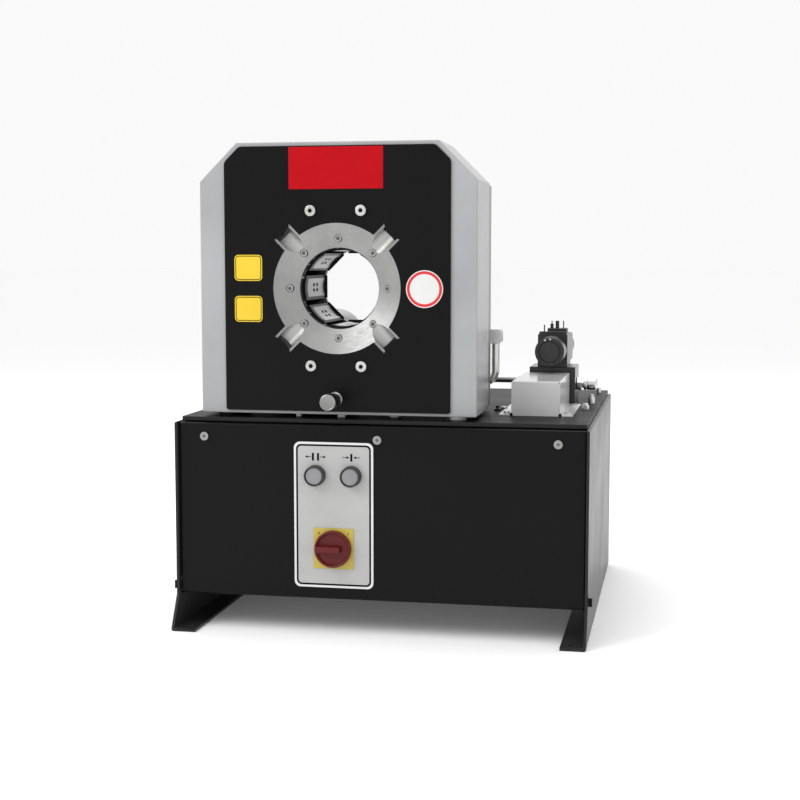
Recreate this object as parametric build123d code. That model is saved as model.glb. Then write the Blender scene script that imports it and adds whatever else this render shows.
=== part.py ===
from build123d import *
import os
import math

# Hose crimping machine, millimetres.
# +X is to the operator's right, +Y runs from the front to the back, +Z is up, z = 0 is the floor.
# Depths below are counted from the outer face of the front cover and moved to the row frame by dy().

# ---------------------------------------------------------------- driving dimensions
FRONT_Y = -263.5          # row-frame y of the front cover's outer face

SIDE_X = 304.3            # half of the width over the two side plates
SIDE_T = 4.0              # sheet thickness of the side plates
SIDE_FRONT = -7.0         # depth of the side plates' front edges
SIDE_BACK = 562.0         # depth of the side plates' back edges
SIDE_TOP = 307.6          # height of the side plates
TOE_DEPTH = -35.0         # depth of the foot's toe at the floor
TOE_HEIGHT = 50.0         # height where the toe starts to slope forward
FOOT_W = 37.0             # width of the folded foot flange
TOP_FLANGE_W = 25.0       # width of the folded top flange
FOOT_HOLE_R = 4.5         # fixing holes in the foot flanges
FOOT_HOLE_X = 282.0       # half the spacing of the fixing holes across the machine
FOOT_HOLE_FRONT = -19.5   # depth of the front fixing holes
FOOT_HOLE_BACK = 546.5    # depth of the back fixing holes

COVER_X = 299.8           # half of the front cover's width
COVER_Z0 = 50.3
COVER_Z1 = 306.0
COVER_T = 3.0
COVER_FOLD = 29.0         # depth of the folded rim behind the cover's face
EAR_OUT = 310.0           # how far the cover's locating ears reach sideways
COVER_SCREW_Z = 286.5
COVER_SCREW_X = (-260.0, 0.0, 260.0)

LID_X = 299.3
LID_Y0 = 12.0
LID_Y1 = 558.0
LID_Z0 = 307.6
LID_Z1 = 313.6

TANK_X = 278.5
TANK_Y0 = 80.0
TANK_Y1 = 540.0
TANK_Z0 = 45.0
TANK_WALL = 3.0

PLATE_X0 = -124.0         # control plate
PLATE_X1 = -6.0
PLATE_Z0 = 67.7
PLATE_Z1 = 281.7
PLATE_T = 2.0
BUTTON_Z = 233.0
BUTTON_X = (-91.6, -38.2)
BUTTON_BEZEL_R = 14.5
BUTTON_CAP_R = 11.3
BUTTON_GAP = 0.3
BUTTON_PROUD = 13.0
BUTTON_TRAVEL = 4.0
SWITCH_X = -65.0
SWITCH_Z = 126.0
SWITCH_PLATE = 60.0
SWITCH_KNOB_R = 26.0

HEAD_X = -66.0            # axis of the crimping bore
HEAD_Z = 503.0
HEAD_HALF_W = 206.0
HEAD_DOWN = 184.0         # from the axis down to the head's underside
HEAD_UP = 211.5           # from the axis up to the head's top
HEAD_CUT = 56.0           # size of the cut upper corners
FOOT_X = 174.0            # the head's four round feet
FOOT_R = 14.5
PANEL_Y0 = 24.0
PANEL_Y1 = 27.0
FRAME_Y1 = 151.0
REAR_Y1 = 190.0
PANEL_HALF_W = 168.0
PANEL_DOWN = 179.4
PANEL_UP = 205.7
PANEL_CUT = 22.5

RIM_R = 95.0              # outer edge of the funnel at the front panel
BORE_R = 59.5             # bore behind the funnel
FUNNEL_Y1 = 45.0          # depth where the funnel reaches the bore
RING_Y1 = 48.0
RING_BODY_R = 103.0
DISC_Y1 = 62.0
EAR_HALF_W = 16.2         # the four ears of the funnel, seen from the front
EAR_TIP_R = 116.7
EAR_ARC_R = 25.7
EAR_ARC_C = 136.7
TROUGH_R = 13.4           # round channel along each ear
TROUGH_Y = 23.1           # depth of the channel's axis
RING_SCREW_PCD_R = 72.8
PANEL_SCREW_X = 37.4
PANEL_SCREW_Z = 112.5

DIE_COUNT = 8
DIE_STROKE = 10.0         # radial travel of every die
DIE_Y0 = 62.3
DIE_Y1 = 180.4
DIE_FLAT_R = 54.2         # flat inner face of an open die
DIE_LIP_R = 51.4          # inner edge of the die's back lip
DIE_LIP_Y = 177.5
DIE_SIDE_GAP = 4.0        # each die's side face stands this far inside its 45 degree share
SEAT_R = 50.0             # hollow seat along each die
SEAT_C = 6.1              # distance of the seat's axis from the bore's axis
SEAT_HALF_W = 13.5
BACK_FLAT = 88.0          # yoke faces, as distances from the bore's axis along their normals
BACK_STEEP = 84.0         # face whose normal is 67.5 degrees from the horizontal
BACK_SIDE = 96.0          # face whose normal is 45 degrees from the horizontal
FACE_GAP = 0.3            # working gap between dies and yokes
KEY_HALF_W = 4.9
KEY_R0 = 70.0
KEY_R1 = 83.0
KEY_DEPTH = 5.0
KEY_GAP = 0.3

YOKE_HALF_W = 126.0
YOKE_TOP = 115.0
YOKE_END = 11.0           # height of the open yoke's ends above the bore's axis
WINDOW_HALF_W = 126.3
WINDOW_HALF_H = 115.5
POCKET_Y1 = 180.7         # depth of the window's floor in the rear housing
PISTON_R = 40.0
PISTON_GAP = 0.05
PISTON_Y = 106.0
PISTON_TOP = 138.0
CYLINDER_TOP = 141.0
REAR_BORE_R = 57.5

MAN_X0 = 187.5            # valve manifold
MAN_X1 = 260.5
MAN_Y0 = 295.0
MAN_Y1 = 373.0
MAN_Z1 = 373.6
VALVE_X = 224.0
VALVE_Z = 401.0
VALVE_HALF_W = 23.6
COIL_R = 23.0
SPOOL_R = 8.0
SPOOL_TRAVEL = 3.0

BOX_X0 = 179.8            # cable cover
BOX_X1 = 252.4
BOX_Y0 = 112.0
BOX_Y1 = 285.0
BOX_Z1 = 365.3
BOX_FLANGE = 18.5

MOTOR_X = -174.0
MOTOR_Y = 320.0
MOTOR_R = 80.0
MOTOR_TOP = 463.0
MOTOR_CROWN_R = 43.0

TUBE_R = 6.0
TUBE_Z = 350.0
TUBE_PORT_Y = 334.0
LINK_X = 144.0            # short tube from the elbow down to the port block
LINK_Y = 204.0
LINK_Z = 356.0
PORT_X = 60.0             # port block low on the back of the head
PORT_BLOCK_X1 = 84.0

PARTS = {}


# ---------------------------------------------------------------- helpers
def dy(depth):
    return FRONT_Y + depth


def block(x0, x1, d0, d1, z0, z1):
    body = Box(x1 - x0, d1 - d0, z1 - z0)
    return Pos((x0 + x1) / 2, dy((d0 + d1) / 2), (z0 + z1) / 2) * body


def rod_y(x, z, r, d0, d1):
    return Pos(x, dy((d0 + d1) / 2), z) * Rot(90, 0, 0) * Cylinder(r, d1 - d0)


def rod_x(depth, z, r, x0, x1):
    return Pos((x0 + x1) / 2, dy(depth), z) * Rot(0, 90, 0) * Cylinder(r, x1 - x0)


def rod_z(x, depth, r, z0, z1):
    return Pos(x, dy(depth), (z0 + z1) / 2) * Cylinder(r, z1 - z0)


def hex_y(x, z, flats, d0, d1):
    face = RegularPolygon(flats / 2, 6, major_radius=False)
    body = extrude(face, amount=d1 - d0)
    return Pos(x, dy(d1), z) * Rot(90, 0, 0) * body


def hex_x(depth, z, flats, x0, x1):
    face = RegularPolygon(flats / 2, 6, major_radius=False)
    body = extrude(face, amount=x1 - x0)
    return Pos(x0, dy(depth), z) * Rot(0, 90, 0) * body


def hex_z(x, depth, flats, z0, z1):
    face = RegularPolygon(flats / 2, 6, major_radius=False)
    return Pos(x, dy(depth), z0) * extrude(face, amount=z1 - z0)


def slab(points, d0, d1):
    """Polygon given as (x, z) pairs, extruded from depth d0 to depth d1."""
    outline = Polyline(*[(x, dy(d0), z) for x, z in points], close=True)
    return extrude(make_face(outline), amount=d1 - d0, dir=(0, 1, 0))


def profile_x(points, x0, x1):
    """Polygon given as (depth, z) pairs, extruded from x0 to x1."""
    outline = Polyline(*[(x0, dy(d), z) for d, z in points], close=True)
    return extrude(make_face(outline), amount=x1 - x0, dir=(1, 0, 0))


def about_bore(shape, degrees):
    """Turn a shape about the bore's axis; positive degrees go from +X towards +Z."""
    return shape.rotate(Axis((HEAD_X, 0, HEAD_Z), (0, 1, 0)), -degrees)


def head_block(x0, x1, d0, d1, z0, z1):
    return block(HEAD_X + x0, HEAD_X + x1, d0, d1, HEAD_Z + z0, HEAD_Z + z1)


def head_slab(points, d0, d1):
    return slab([(HEAD_X + x, HEAD_Z + z) for x, z in points], d0, d1)


def softened(shape, edges, radius):
    return fillet(edges, radius)


def save(name, shape):
    PARTS[name] = shape
    shape.label = name
    export_step(shape, "parts/" + name + ".step")


def cut_corner_outline(half_w, down, up, cut):
    return [
        (-half_w, -down),
        (half_w, -down),
        (half_w, up - cut),
        (half_w - cut, up),
        (-half_w + cut, up),
        (-half_w, up - cut),
    ]


# ---------------------------------------------------------------- cabinet
def side_plate(sign):
    outline = [
        (SIDE_FRONT, SIDE_TOP),
        (SIDE_FRONT, TOE_HEIGHT),
        (TOE_DEPTH, 0.0),
        (SIDE_BACK, 0.0),
        (SIDE_BACK, SIDE_TOP),
    ]
    web = profile_x(outline, SIDE_X - SIDE_T, SIDE_X)
    bends = web.edges().filter_by(Axis.Y).filter_by_position(Axis.X, SIDE_X - 0.01, SIDE_X + 0.01)
    web = fillet(bends, 3.5)
    inner = SIDE_X - SIDE_T
    foot = block(SIDE_X - FOOT_W, inner, TOE_DEPTH, SIDE_BACK, 0.0, SIDE_T)
    top = block(SIDE_X - TOP_FLANGE_W, inner, COVER_FOLD + 2, 546.0, SIDE_TOP - SIDE_T, SIDE_TOP)
    plate = web + foot + top
    # slot that takes the front cover's locating ear
    plate = plate - block(SIDE_X - 10, SIDE_X + 10, -1.0, 5.0, 52.0, 74.0)
    for depth in (FOOT_HOLE_FRONT, FOOT_HOLE_BACK):
        plate = plate - rod_z(FOOT_HOLE_X, depth, FOOT_HOLE_R, -5, 10)
    if sign < 0:
        plate = plate.mirror(Plane.YZ)
    return plate


def front_cover():
    cover = block(-COVER_X, COVER_X, 0.0, COVER_FOLD, COVER_Z0, COVER_Z1)
    front_edges = cover.edges().filter_by_position(Axis.Y, dy(0) - 0.01, dy(0) + 0.01)
    cover = fillet(front_edges, 2.5)
    inside = block(
        -COVER_X + COVER_T,
        COVER_X - COVER_T,
        COVER_T,
        COVER_FOLD + 5,
        COVER_Z0 + COVER_T,
        COVER_Z1 - COVER_T,
    )
    cover = cover - inside
    for side in (-1, 1):
        x0 = min(side * (COVER_X - 4), side * EAR_OUT)
        x1 = max(side * (COVER_X - 4), side * EAR_OUT)
        cover = cover + block(x0, x1, 0.2, 3.2, 56.0, 68.0)
    for x in COVER_SCREW_X:
        cover = cover - rod_y(x, COVER_SCREW_Z, 3.3, -5, 10)
    for x in BUTTON_X:
        cover = cover - rod_y(x, BUTTON_Z, 11.2, -5, 10)
    cover = cover - rod_y(SWITCH_X, SWITCH_Z, 7.0, -5, 10)
    return cover


def rear_cover():
    cover = block(-COVER_X, COVER_X, 549.0, 552.0, 40.0, 306.0)
    # rows of ventilation slots
    for column in (-150, 0, 150):
        for row in range(6):
            z = 190 + 14 * row
            cover = cover - block(column - 45, column + 45, 540, 560, z - 2.5, z + 2.5)
    cover = cover - rod_y(200.0, 80.0, 8.1, 540, 560)
    for x in (-280, 0, 280):
        for z in (56, 290):
            cover = cover - rod_y(x, z, 2.7, 540, 560)
    return cover


def oil_tank():
    tank = block(-TANK_X, TANK_X, TANK_Y0, TANK_Y1, TANK_Z0, LID_Z0 - 0.0)
    hollow = block(
        -TANK_X + TANK_WALL,
        TANK_X - TANK_WALL,
        TANK_Y0 + TANK_WALL,
        TANK_Y1 - TANK_WALL,
        TANK_Z0 + TANK_WALL,
        LID_Z0 + 20,
    )
    tank = tank - hollow
    # one inner baffle, open at the bottom so that the oil can pass
    tank = tank + block(20, 23, TANK_Y0 + 2, TANK_Y1 - 2, TANK_Z0 + 40, LID_Z0 - 30)
    tank = tank - rod_x(500, 60, 6.5, TANK_X - 20, TANK_X + 20)
    return tank


def drain_plug():
    plug = rod_x(500, 60, 6.5, TANK_X - TANK_WALL, TANK_X)
    return plug + hex_x(500, 60, 19, TANK_X, TANK_X + 8)


def lid_plate():
    lid = block(-LID_X, LID_X, LID_Y0, LID_Y1, LID_Z0, LID_Z1)
    upright = lid.edges().filter_by(Axis.Z)
    lid = fillet(upright, 3.0)
    lid = lid - rod_z(MOTOR_X, MOTOR_Y, 52.3, LID_Z0 - 5, LID_Z1 + 5)
    lid = lid - rod_z(60, 470, 20.0, LID_Z0 - 5, LID_Z1 + 5)
    for side in (-1, 1):
        lid = lid - block(side * 291 - 4, side * 291 + 4, 47.0, 50.0, LID_Z0 - 5, LID_Z1 + 5)
    return lid


def cabinet_screws():
    screws = None
    for x in COVER_SCREW_X:
        head = rod_y(x, COVER_SCREW_Z, 6.3, -3.5, 0.0)
        head = head - hex_y(x, COVER_SCREW_Z, 4.0, -4.0, -1.5)
        screw = head + rod_y(x, COVER_SCREW_Z, 3.0, 0.0, 14.0)
        screws = screw if screws is None else screws + screw
    for x in (-280, 0, 280):
        for z in (56, 290):
            screws = screws + (rod_y(x, z, 4.5, 552.0, 555.0) + rod_y(x, z, 2.5, 542.0, 552.0))
    return screws


# ---------------------------------------------------------------- controls
def control_plate():
    plate = block(PLATE_X0, PLATE_X1, -PLATE_T, 0.0, PLATE_Z0, PLATE_Z1)
    plate = fillet(plate.edges().filter_by(Axis.Y), 9.0)
    for x in BUTTON_X:
        plate = plate - rod_y(x, BUTTON_Z, 11.2, -5, 5)
    return plate - rod_y(SWITCH_X, SWITCH_Z, 7.0, -5, 5)


def button_housing(x):
    bezel = rod_y(x, BUTTON_Z, BUTTON_BEZEL_R, -PLATE_T - BUTTON_PROUD, -PLATE_T)
    bezel = chamfer(bezel.edges().group_by(Axis.Y)[0], 1.2)
    barrel = rod_y(x, BUTTON_Z, 11.0, -PLATE_T, 18.0)
    nut = rod_y(x, BUTTON_Z, 14.0, COVER_T, 8.0)
    contact = block(x - 15, x + 15, 18.0, 58.0, BUTTON_Z - 20, BUTTON_Z + 20)
    housing = bezel + barrel + nut + contact
    cap_room = rod_y(x, BUTTON_Z, BUTTON_CAP_R + BUTTON_GAP, -PLATE_T - BUTTON_PROUD - 1, -0.5)
    stem_room = rod_y(x, BUTTON_Z, 5.3, -1.0, 30.0)
    return housing - cap_room - stem_room


def button_cap(x):
    face = -PLATE_T - BUTTON_PROUD + 1.5
    cap = rod_y(x, BUTTON_Z, BUTTON_CAP_R, face, face + 7.0)
    cap = chamfer(cap.edges().group_by(Axis.Y)[0], 0.8)
    return cap + rod_y(x, BUTTON_Z, 5.0, face + 7.0, 24.0)


def switch_plate():
    half = SWITCH_PLATE / 2
    plate = block(
        SWITCH_X - half,
        SWITCH_X + half,
        -PLATE_T - 1.5,
        -PLATE_T,
        SWITCH_Z - half,
        SWITCH_Z + half,
    )
    plate = fillet(plate.edges().filter_by(Axis.Y), 3.0)
    return plate - rod_y(SWITCH_X, SWITCH_Z, 7.0, -10, 5)


def switch_body():
    flange = block(SWITCH_X - 28, SWITCH_X + 28, COVER_T, 9.0, SWITCH_Z - 28, SWITCH_Z + 28)
    body = block(SWITCH_X - 24, SWITCH_X + 24, 9.0, 62.0, SWITCH_Z - 24, SWITCH_Z + 24)
    body = fillet(body.edges().filter_by(Axis.Y), 4.0)
    return flange + body - rod_y(SWITCH_X, SWITCH_Z, 6.05, 0.0, 30.0)


def switch_knob():
    base_face = -PLATE_T - 1.5 - 0.4
    rim = rod_y(SWITCH_X, SWITCH_Z, SWITCH_KNOB_R, base_face - 9.0, base_face)
    rim = fillet(rim.edges().group_by(Axis.Y)[0], 2.0)
    dish = rod_y(SWITCH_X, SWITCH_Z, SWITCH_KNOB_R - 3.5, base_face - 12.0, base_face - 5.0)
    knob = rim - dish
    rib = block(
        SWITCH_X - 25.0,
        SWITCH_X + 9.0,
        base_face - 16.0,
        base_face - 4.0,
        SWITCH_Z - 4.5,
        SWITCH_Z + 4.5,
    )
    rib = fillet(rib.edges().filter_by(Axis.Y), 3.0)
    shaft = rod_y(SWITCH_X, SWITCH_Z, 6.0, base_face, 26.0)
    return knob + rib + shaft


def contactor_unit():
    rail = block(60, 230, 72.0, 79.5, 190, 225)
    first = block(80, 125, 14.0, 72.0, 165, 250)
    second = block(130, 170, 20.0, 72.0, 170, 245)
    terminals = block(176, 220, 34.0, 72.0, 180, 235)
    unit = rail + first + second + terminals
    for column in range(3):
        x = 88 + 14 * column
        unit = unit - rod_y(x, 243, 2.5, 10, 20)
        unit = unit - rod_y(x, 172, 2.5, 10, 20)
    return unit


# ---------------------------------------------------------------- power pack
def motor_housing():
    flange = rod_z(MOTOR_X, MOTOR_Y, 72.0, LID_Z1, LID_Z1 + 10)
    spigot = rod_z(MOTOR_X, MOTOR_Y, 52.0, LID_Z0 - 12, LID_Z1)
    shell = rod_z(MOTOR_X, MOTOR_Y, 74.0, LID_Z1 + 10, MOTOR_TOP - 60)
    body = flange + spigot + shell
    for index in range(24):
        fin = block(MOTOR_X + 72, MOTOR_X + 78, MOTOR_Y - 1.2, MOTOR_Y + 1.2, LID_Z1 + 14, MOTOR_TOP - 62)
        body = body + fin.rotate(Axis((MOTOR_X, dy(MOTOR_Y), 0), (0, 0, 1)), 15 * index)
    # fan cowl with a wide round crown
    cowl = rod_z(MOTOR_X, MOTOR_Y, MOTOR_R, MOTOR_TOP - 62, MOTOR_TOP)
    crown = cowl.edges().group_by(Axis.Z)[-1]
    cowl = fillet(crown, MOTOR_CROWN_R)
    hollow = rod_z(MOTOR_X, MOTOR_Y, MOTOR_R - 3, MOTOR_TOP - 58, MOTOR_TOP - 34)
    cowl = cowl - hollow
    for index in range(8):
        hole = rod_z(MOTOR_X + 22, MOTOR_Y, 5.0, MOTOR_TOP - 40, MOTOR_TOP + 5)
        cowl = cowl - hole.rotate(Axis((MOTOR_X, dy(MOTOR_Y), 0), (0, 0, 1)), 45 * index)
    body = body + cowl
    # room for the shaft
    body = body - rod_z(MOTOR_X, MOTOR_Y, 9.3, LID_Z0 - 20, MOTOR_TOP - 40)
    body = body - rod_z(MOTOR_X, MOTOR_Y, 30.0, LID_Z0 - 20, LID_Z1 + 4)
    # terminal box on the back of the motor
    box = block(MOTOR_X - 35, MOTOR_X + 35, MOTOR_Y + 70, MOTOR_Y + 108, LID_Z1 + 20, LID_Z1 + 84)
    box = fillet(box.edges().filter_by(Axis.Y), 5.0)
    return body + box


def motor_rotor():
    shaft = rod_z(MOTOR_X, MOTOR_Y, 9.0, 262, MOTOR_TOP - 44)
    hub = rod_z(MOTOR_X, MOTOR_Y, 20.0, 262, LID_Z0 - 6)
    rotor = shaft + hub
    fan_hub = rod_z(MOTOR_X, MOTOR_Y, 18.0, MOTOR_TOP - 55, MOTOR_TOP - 40)
    rotor = rotor + fan_hub
    for index in range(8):
        blade = block(MOTOR_X + 14, MOTOR_X + 66, MOTOR_Y - 1.2, MOTOR_Y + 1.2, MOTOR_TOP - 54, MOTOR_TOP - 41)
        rotor = rotor + blade.rotate(Axis((MOTOR_X, dy(MOTOR_Y), 0), (0, 0, 1)), 45 * index)
    return rotor


def gear_pump():
    # bell housing around the coupling, then the pump itself
    bell = rod_z(MOTOR_X, MOTOR_Y, 50.0, 250, LID_Z0 - 12.0)
    bell = bell - rod_z(MOTOR_X, MOTOR_Y, 30.0, 256, LID_Z0)
    body = block(MOTOR_X - 44, MOTOR_X + 44, MOTOR_Y - 34, MOTOR_Y + 34, 168, 250)
    body = fillet(body.edges().filter_by(Axis.Z), 10.0)
    pump = bell + body
    return pump + rod_z(MOTOR_X, MOTOR_Y, 24.0, 256, 261)


def suction_strainer():
    pipe = rod_z(MOTOR_X, MOTOR_Y, 11.0, 120, 168)
    basket = rod_z(MOTOR_X, MOTOR_Y, 34.0, 62, 120)
    basket = fillet(basket.edges().filter_by(GeomType.CIRCLE), 4.0)
    return pipe + basket


def filler_neck():
    neck = rod_z(60, 470, 24.0, LID_Z1, LID_Z1 + 6)
    neck = neck + rod_z(60, 470, 19.7, LID_Z0 - 40, LID_Z1 + 12)
    return neck - rod_z(60, 470, 17.0, LID_Z0 - 50, LID_Z1 + 20)


def filler_cap():
    cap = rod_z(60, 470, 27.0, LID_Z1 + 6.4, LID_Z1 + 34)
    cap = fillet(cap.edges().group_by(Axis.Z)[-1], 5.0)
    cap = cap - rod_z(60, 470, 20.1, LID_Z1, LID_Z1 + 14)
    for index in range(12):
        groove = rod_z(60 + 28.5, 470, 2.6, LID_Z1, LID_Z1 + 40)
        cap = cap - groove.rotate(Axis((60, dy(470), 0), (0, 0, 1)), 30 * index)
    return cap


def cable_gland():
    outer = rod_y(200.0, 80.0, 8.0, 546.0, 560.0) + hex_y(200.0, 80.0, 22.0, 552.0, 561.0)
    inner = hex_y(200.0, 80.0, 22.0, 544.0, 549.0)
    return outer + inner - rod_y(200.0, 80.0, 5.0, 530, 570)


# ---------------------------------------------------------------- crimping head
def star(half_w, outer_r, disc_r, d0, d1):
    """Round disc with four straight ears on the diagonals."""
    shape = rod_y(HEAD_X, HEAD_Z, disc_r, d0, d1)
    for quadrant in range(4):
        ear = head_block(0, outer_r, d0, d1, -half_w, half_w)
        shape = shape + about_bore(ear, 45 + 90 * quadrant)
    return shape


def head_frame():
    outline = cut_corner_outline(HEAD_HALF_W, HEAD_DOWN, HEAD_UP, HEAD_CUT)
    frame = head_slab(outline, PANEL_Y1, FRAME_Y1)
    long_edges = frame.edges().filter_by(Axis.Y)
    frame = fillet(long_edges, 2.0)
    frame = fillet(frame.edges().group_by(Axis.Y)[0], 1.5)
    frame = frame - star(EAR_HALF_W + 4.1, 121.3, RING_BODY_R + 0.3, PANEL_Y1 - 1, RING_Y1)
    frame = frame - rod_y(HEAD_X, HEAD_Z, RING_BODY_R + 0.3, RING_Y1 - 1, DISC_Y1 + 1)
    frame = frame - head_block(
        -WINDOW_HALF_W, WINDOW_HALF_W, DISC_Y1, FRAME_Y1 + 1, -WINDOW_HALF_H, WINDOW_HALF_H
    )
    # the two hydraulic cylinders, above and below the window
    for sign in (-1, 1):
        z0 = min(sign * (WINDOW_HALF_H - 1), sign * CYLINDER_TOP)
        z1 = max(sign * (WINDOW_HALF_H - 1), sign * CYLINDER_TOP)
        frame = frame - rod_z(HEAD_X, PISTON_Y, PISTON_R + PISTON_GAP, HEAD_Z + z0, HEAD_Z + z1)
    for x in (-PANEL_SCREW_X, PANEL_SCREW_X):
        for z in (-PANEL_SCREW_Z, PANEL_SCREW_Z):
            frame = frame - rod_y(HEAD_X + x, HEAD_Z + z, 5.0, PANEL_Y1 - 1, 47.5)
    frame = frame - rod_y(HEAD_X, HEAD_Z - 160.5, 6.0, PANEL_Y1 - 1, 45.5)
    # threaded hole for a lifting eye in the top
    frame = frame - rod_z(HEAD_X, 89.0, 6.0, HEAD_Z + HEAD_UP - 30, HEAD_Z + HEAD_UP + 5)
    for x in (-FOOT_X, FOOT_X):
        for depth in (50, 128):
            frame = frame - rod_z(HEAD_X + x, depth, 6.0, HEAD_Z - HEAD_DOWN - 5, HEAD_Z - HEAD_DOWN + 24)
    for x, z in REAR_SCREWS:
        frame = frame - rod_y(HEAD_X + x, HEAD_Z + z, 5.0, 130.0, FRAME_Y1 + 1)
    return frame


REAR_SCREWS = [
    (-166, -150),
    (0, -150),
    (166, -150),
    (-166, 0),
    (166, 0),
    (-166, 130),
    (166, 130),
    (-70, 182),
    (70, 182),
]


def head_rear_housing():
    outline = cut_corner_outline(HEAD_HALF_W - 2, HEAD_DOWN - 2, HEAD_UP - 3, HEAD_CUT)
    rear = head_slab(outline, FRAME_Y1, REAR_Y1)
    rear = fillet(rear.edges().filter_by(Axis.Y), 2.0)
    rear = rear - head_block(
        -WINDOW_HALF_W, WINDOW_HALF_W, FRAME_Y1 - 1, POCKET_Y1, -WINDOW_HALF_H, WINDOW_HALF_H
    )
    rear = rear - rod_y(HEAD_X, HEAD_Z, REAR_BORE_R, FRAME_Y1, REAR_Y1 + 5)
    for index in range(DIE_COUNT):
        slot = head_block(
            30.0,
            KEY_R1 + 0.4,
            POCKET_Y1 - 1,
            DIE_Y1 + KEY_DEPTH + 0.6,
            -KEY_HALF_W - KEY_GAP,
            KEY_HALF_W + KEY_GAP,
        )
        rear = rear - about_bore(slot, 45 * index)
    for x, z in REAR_SCREWS:
        rear = rear - rod_y(HEAD_X + x, HEAD_Z + z, 5.5, FRAME_Y1 - 1, REAR_Y1 + 1)
        rear = rear - rod_y(HEAD_X + x, HEAD_Z + z, 8.5, REAR_Y1 - 11, REAR_Y1 + 1)
    # ports for the pressure line
    rear = rear - rod_y(HEAD_X + 188, 427.0, 5.0, REAR_Y1 - 20, REAR_Y1 + 1)
    rear = rear - rod_y(PORT_X, TUBE_Z, 5.0, REAR_Y1 - 20, REAR_Y1 + 1)
    return rear


def rear_screws():
    screws = None
    for x, z in REAR_SCREWS:
        head = rod_y(HEAD_X + x, HEAD_Z + z, 8.0, REAR_Y1 - 11, REAR_Y1 - 1)
        head = head - hex_y(HEAD_X + x, HEAD_Z + z, 8.0, REAR_Y1 - 6, REAR_Y1)
        screw = head + rod_y(HEAD_X + x, HEAD_Z + z, 5.0, 131.0, REAR_Y1 - 11)
        screws = screw if screws is None else screws + screw
    return screws


def front_panel():
    outline = cut_corner_outline(PANEL_HALF_W, PANEL_DOWN, PANEL_UP, PANEL_CUT)
    panel = head_slab(outline, PANEL_Y0, PANEL_Y1)
    panel = fillet(panel.edges().filter_by(Axis.Y), 4.0)
    hole = rod_y(HEAD_X, HEAD_Z, RIM_R, PANEL_Y0 - 5, PANEL_Y1 + 5)
    for quadrant in range(4):
        ear = head_block(40, EAR_TIP_R, PANEL_Y0 - 5, PANEL_Y1 + 5, -EAR_HALF_W, EAR_HALF_W)
        ear = ear - rod_y(HEAD_X + EAR_ARC_C, HEAD_Z, EAR_ARC_R, PANEL_Y0 - 6, PANEL_Y1 + 6)
        hole = hole + about_bore(ear, 45 + 90 * quadrant)
    panel = panel - hole
    for x in (-PANEL_SCREW_X, PANEL_SCREW_X):
        for z in (-PANEL_SCREW_Z, PANEL_SCREW_Z):
            panel = panel - rod_y(HEAD_X + x, HEAD_Z + z, 5.3, PANEL_Y0 - 5, PANEL_Y1 + 5)
    return panel - rod_y(HEAD_X, HEAD_Z - 160.5, 6.3, PANEL_Y0 - 5, PANEL_Y1 + 5)


def funnel_ring():
    ring = star(EAR_HALF_W + 3.8, 121.0, RING_BODY_R, PANEL_Y1, RING_Y1)
    cone_len = FUNNEL_Y1 - PANEL_Y1
    cone = Cone(BORE_R, RIM_R, cone_len)
    cone = Pos(HEAD_X, dy((PANEL_Y1 + FUNNEL_Y1) / 2), HEAD_Z) * Rot(90, 0, 0) * cone
    ring = ring - cone
    ring = ring - rod_y(HEAD_X, HEAD_Z, BORE_R, PANEL_Y1 - 5, RING_Y1 + 5)
    for quadrant in range(4):
        trough = rod_x(TROUGH_Y, HEAD_Z, TROUGH_R, HEAD_X + 50, HEAD_X + 109.0)
        gap = head_block(108.9, 122.0, PANEL_Y1 - 5, RING_Y1 + 5, -12.4, 12.4)
        ring = ring - about_bore(trough, 45 + 90 * quadrant)
        ring = ring - about_bore(gap, 45 + 90 * quadrant)
    for index in range(8):
        seat = rod_y(HEAD_X + RING_SCREW_PCD_R, HEAD_Z, 5.6, PANEL_Y1 - 5, 43.0)
        hole = rod_y(HEAD_X + RING_SCREW_PCD_R, HEAD_Z, 3.2, 42.0, RING_Y1 + 5)
        ring = ring - about_bore(seat + hole, 45 * index)
    return ring


def ring_screws():
    screws = None
    for index in range(8):
        head = rod_y(HEAD_X + RING_SCREW_PCD_R, HEAD_Z, 5.0, 37.0, 43.0)
        head = head - hex_y(HEAD_X + RING_SCREW_PCD_R, HEAD_Z, 5.0, 36.5, 40.0)
        screw = head + rod_y(HEAD_X + RING_SCREW_PCD_R, HEAD_Z, 3.0, 43.0, 54.5)
        screw = about_bore(screw, 45 * index)
        screws = screw if screws is None else screws + screw
    return screws


def guide_disc():
    disc = rod_y(HEAD_X, HEAD_Z, RING_BODY_R, RING_Y1, DISC_Y1)
    disc = disc - rod_y(HEAD_X, HEAD_Z, BORE_R, RING_Y1 - 5, DISC_Y1 + 5)
    for index in range(DIE_COUNT):
        slot = head_block(
            40.0,
            KEY_R1 + 0.4,
            DIE_Y0 - KEY_DEPTH - 0.6,
            DISC_Y1 + 1,
            -KEY_HALF_W - KEY_GAP,
            KEY_HALF_W + KEY_GAP,
        )
        thread = rod_y(HEAD_X + RING_SCREW_PCD_R, HEAD_Z, 3.0, RING_Y1 - 1, 55.0)
        disc = disc - about_bore(slot + thread, 45 * index)
    return disc


def panel_screws():
    screws = None
    for x in (-PANEL_SCREW_X, PANEL_SCREW_X):
        for z in (-PANEL_SCREW_Z, PANEL_SCREW_Z):
            head = rod_y(HEAD_X + x, HEAD_Z + z, 8.0, PANEL_Y0 - 5, PANEL_Y0)
            head = fillet(head.edges().group_by(Axis.Y)[0], 1.0)
            head = head - hex_y(HEAD_X + x, HEAD_Z + z, 6.0, PANEL_Y0 - 6, PANEL_Y0 - 1.5)
            screw = head + rod_y(HEAD_X + x, HEAD_Z + z, 5.0, PANEL_Y0, 47.0)
            screws = screw if screws is None else screws + screw
    return screws


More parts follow.
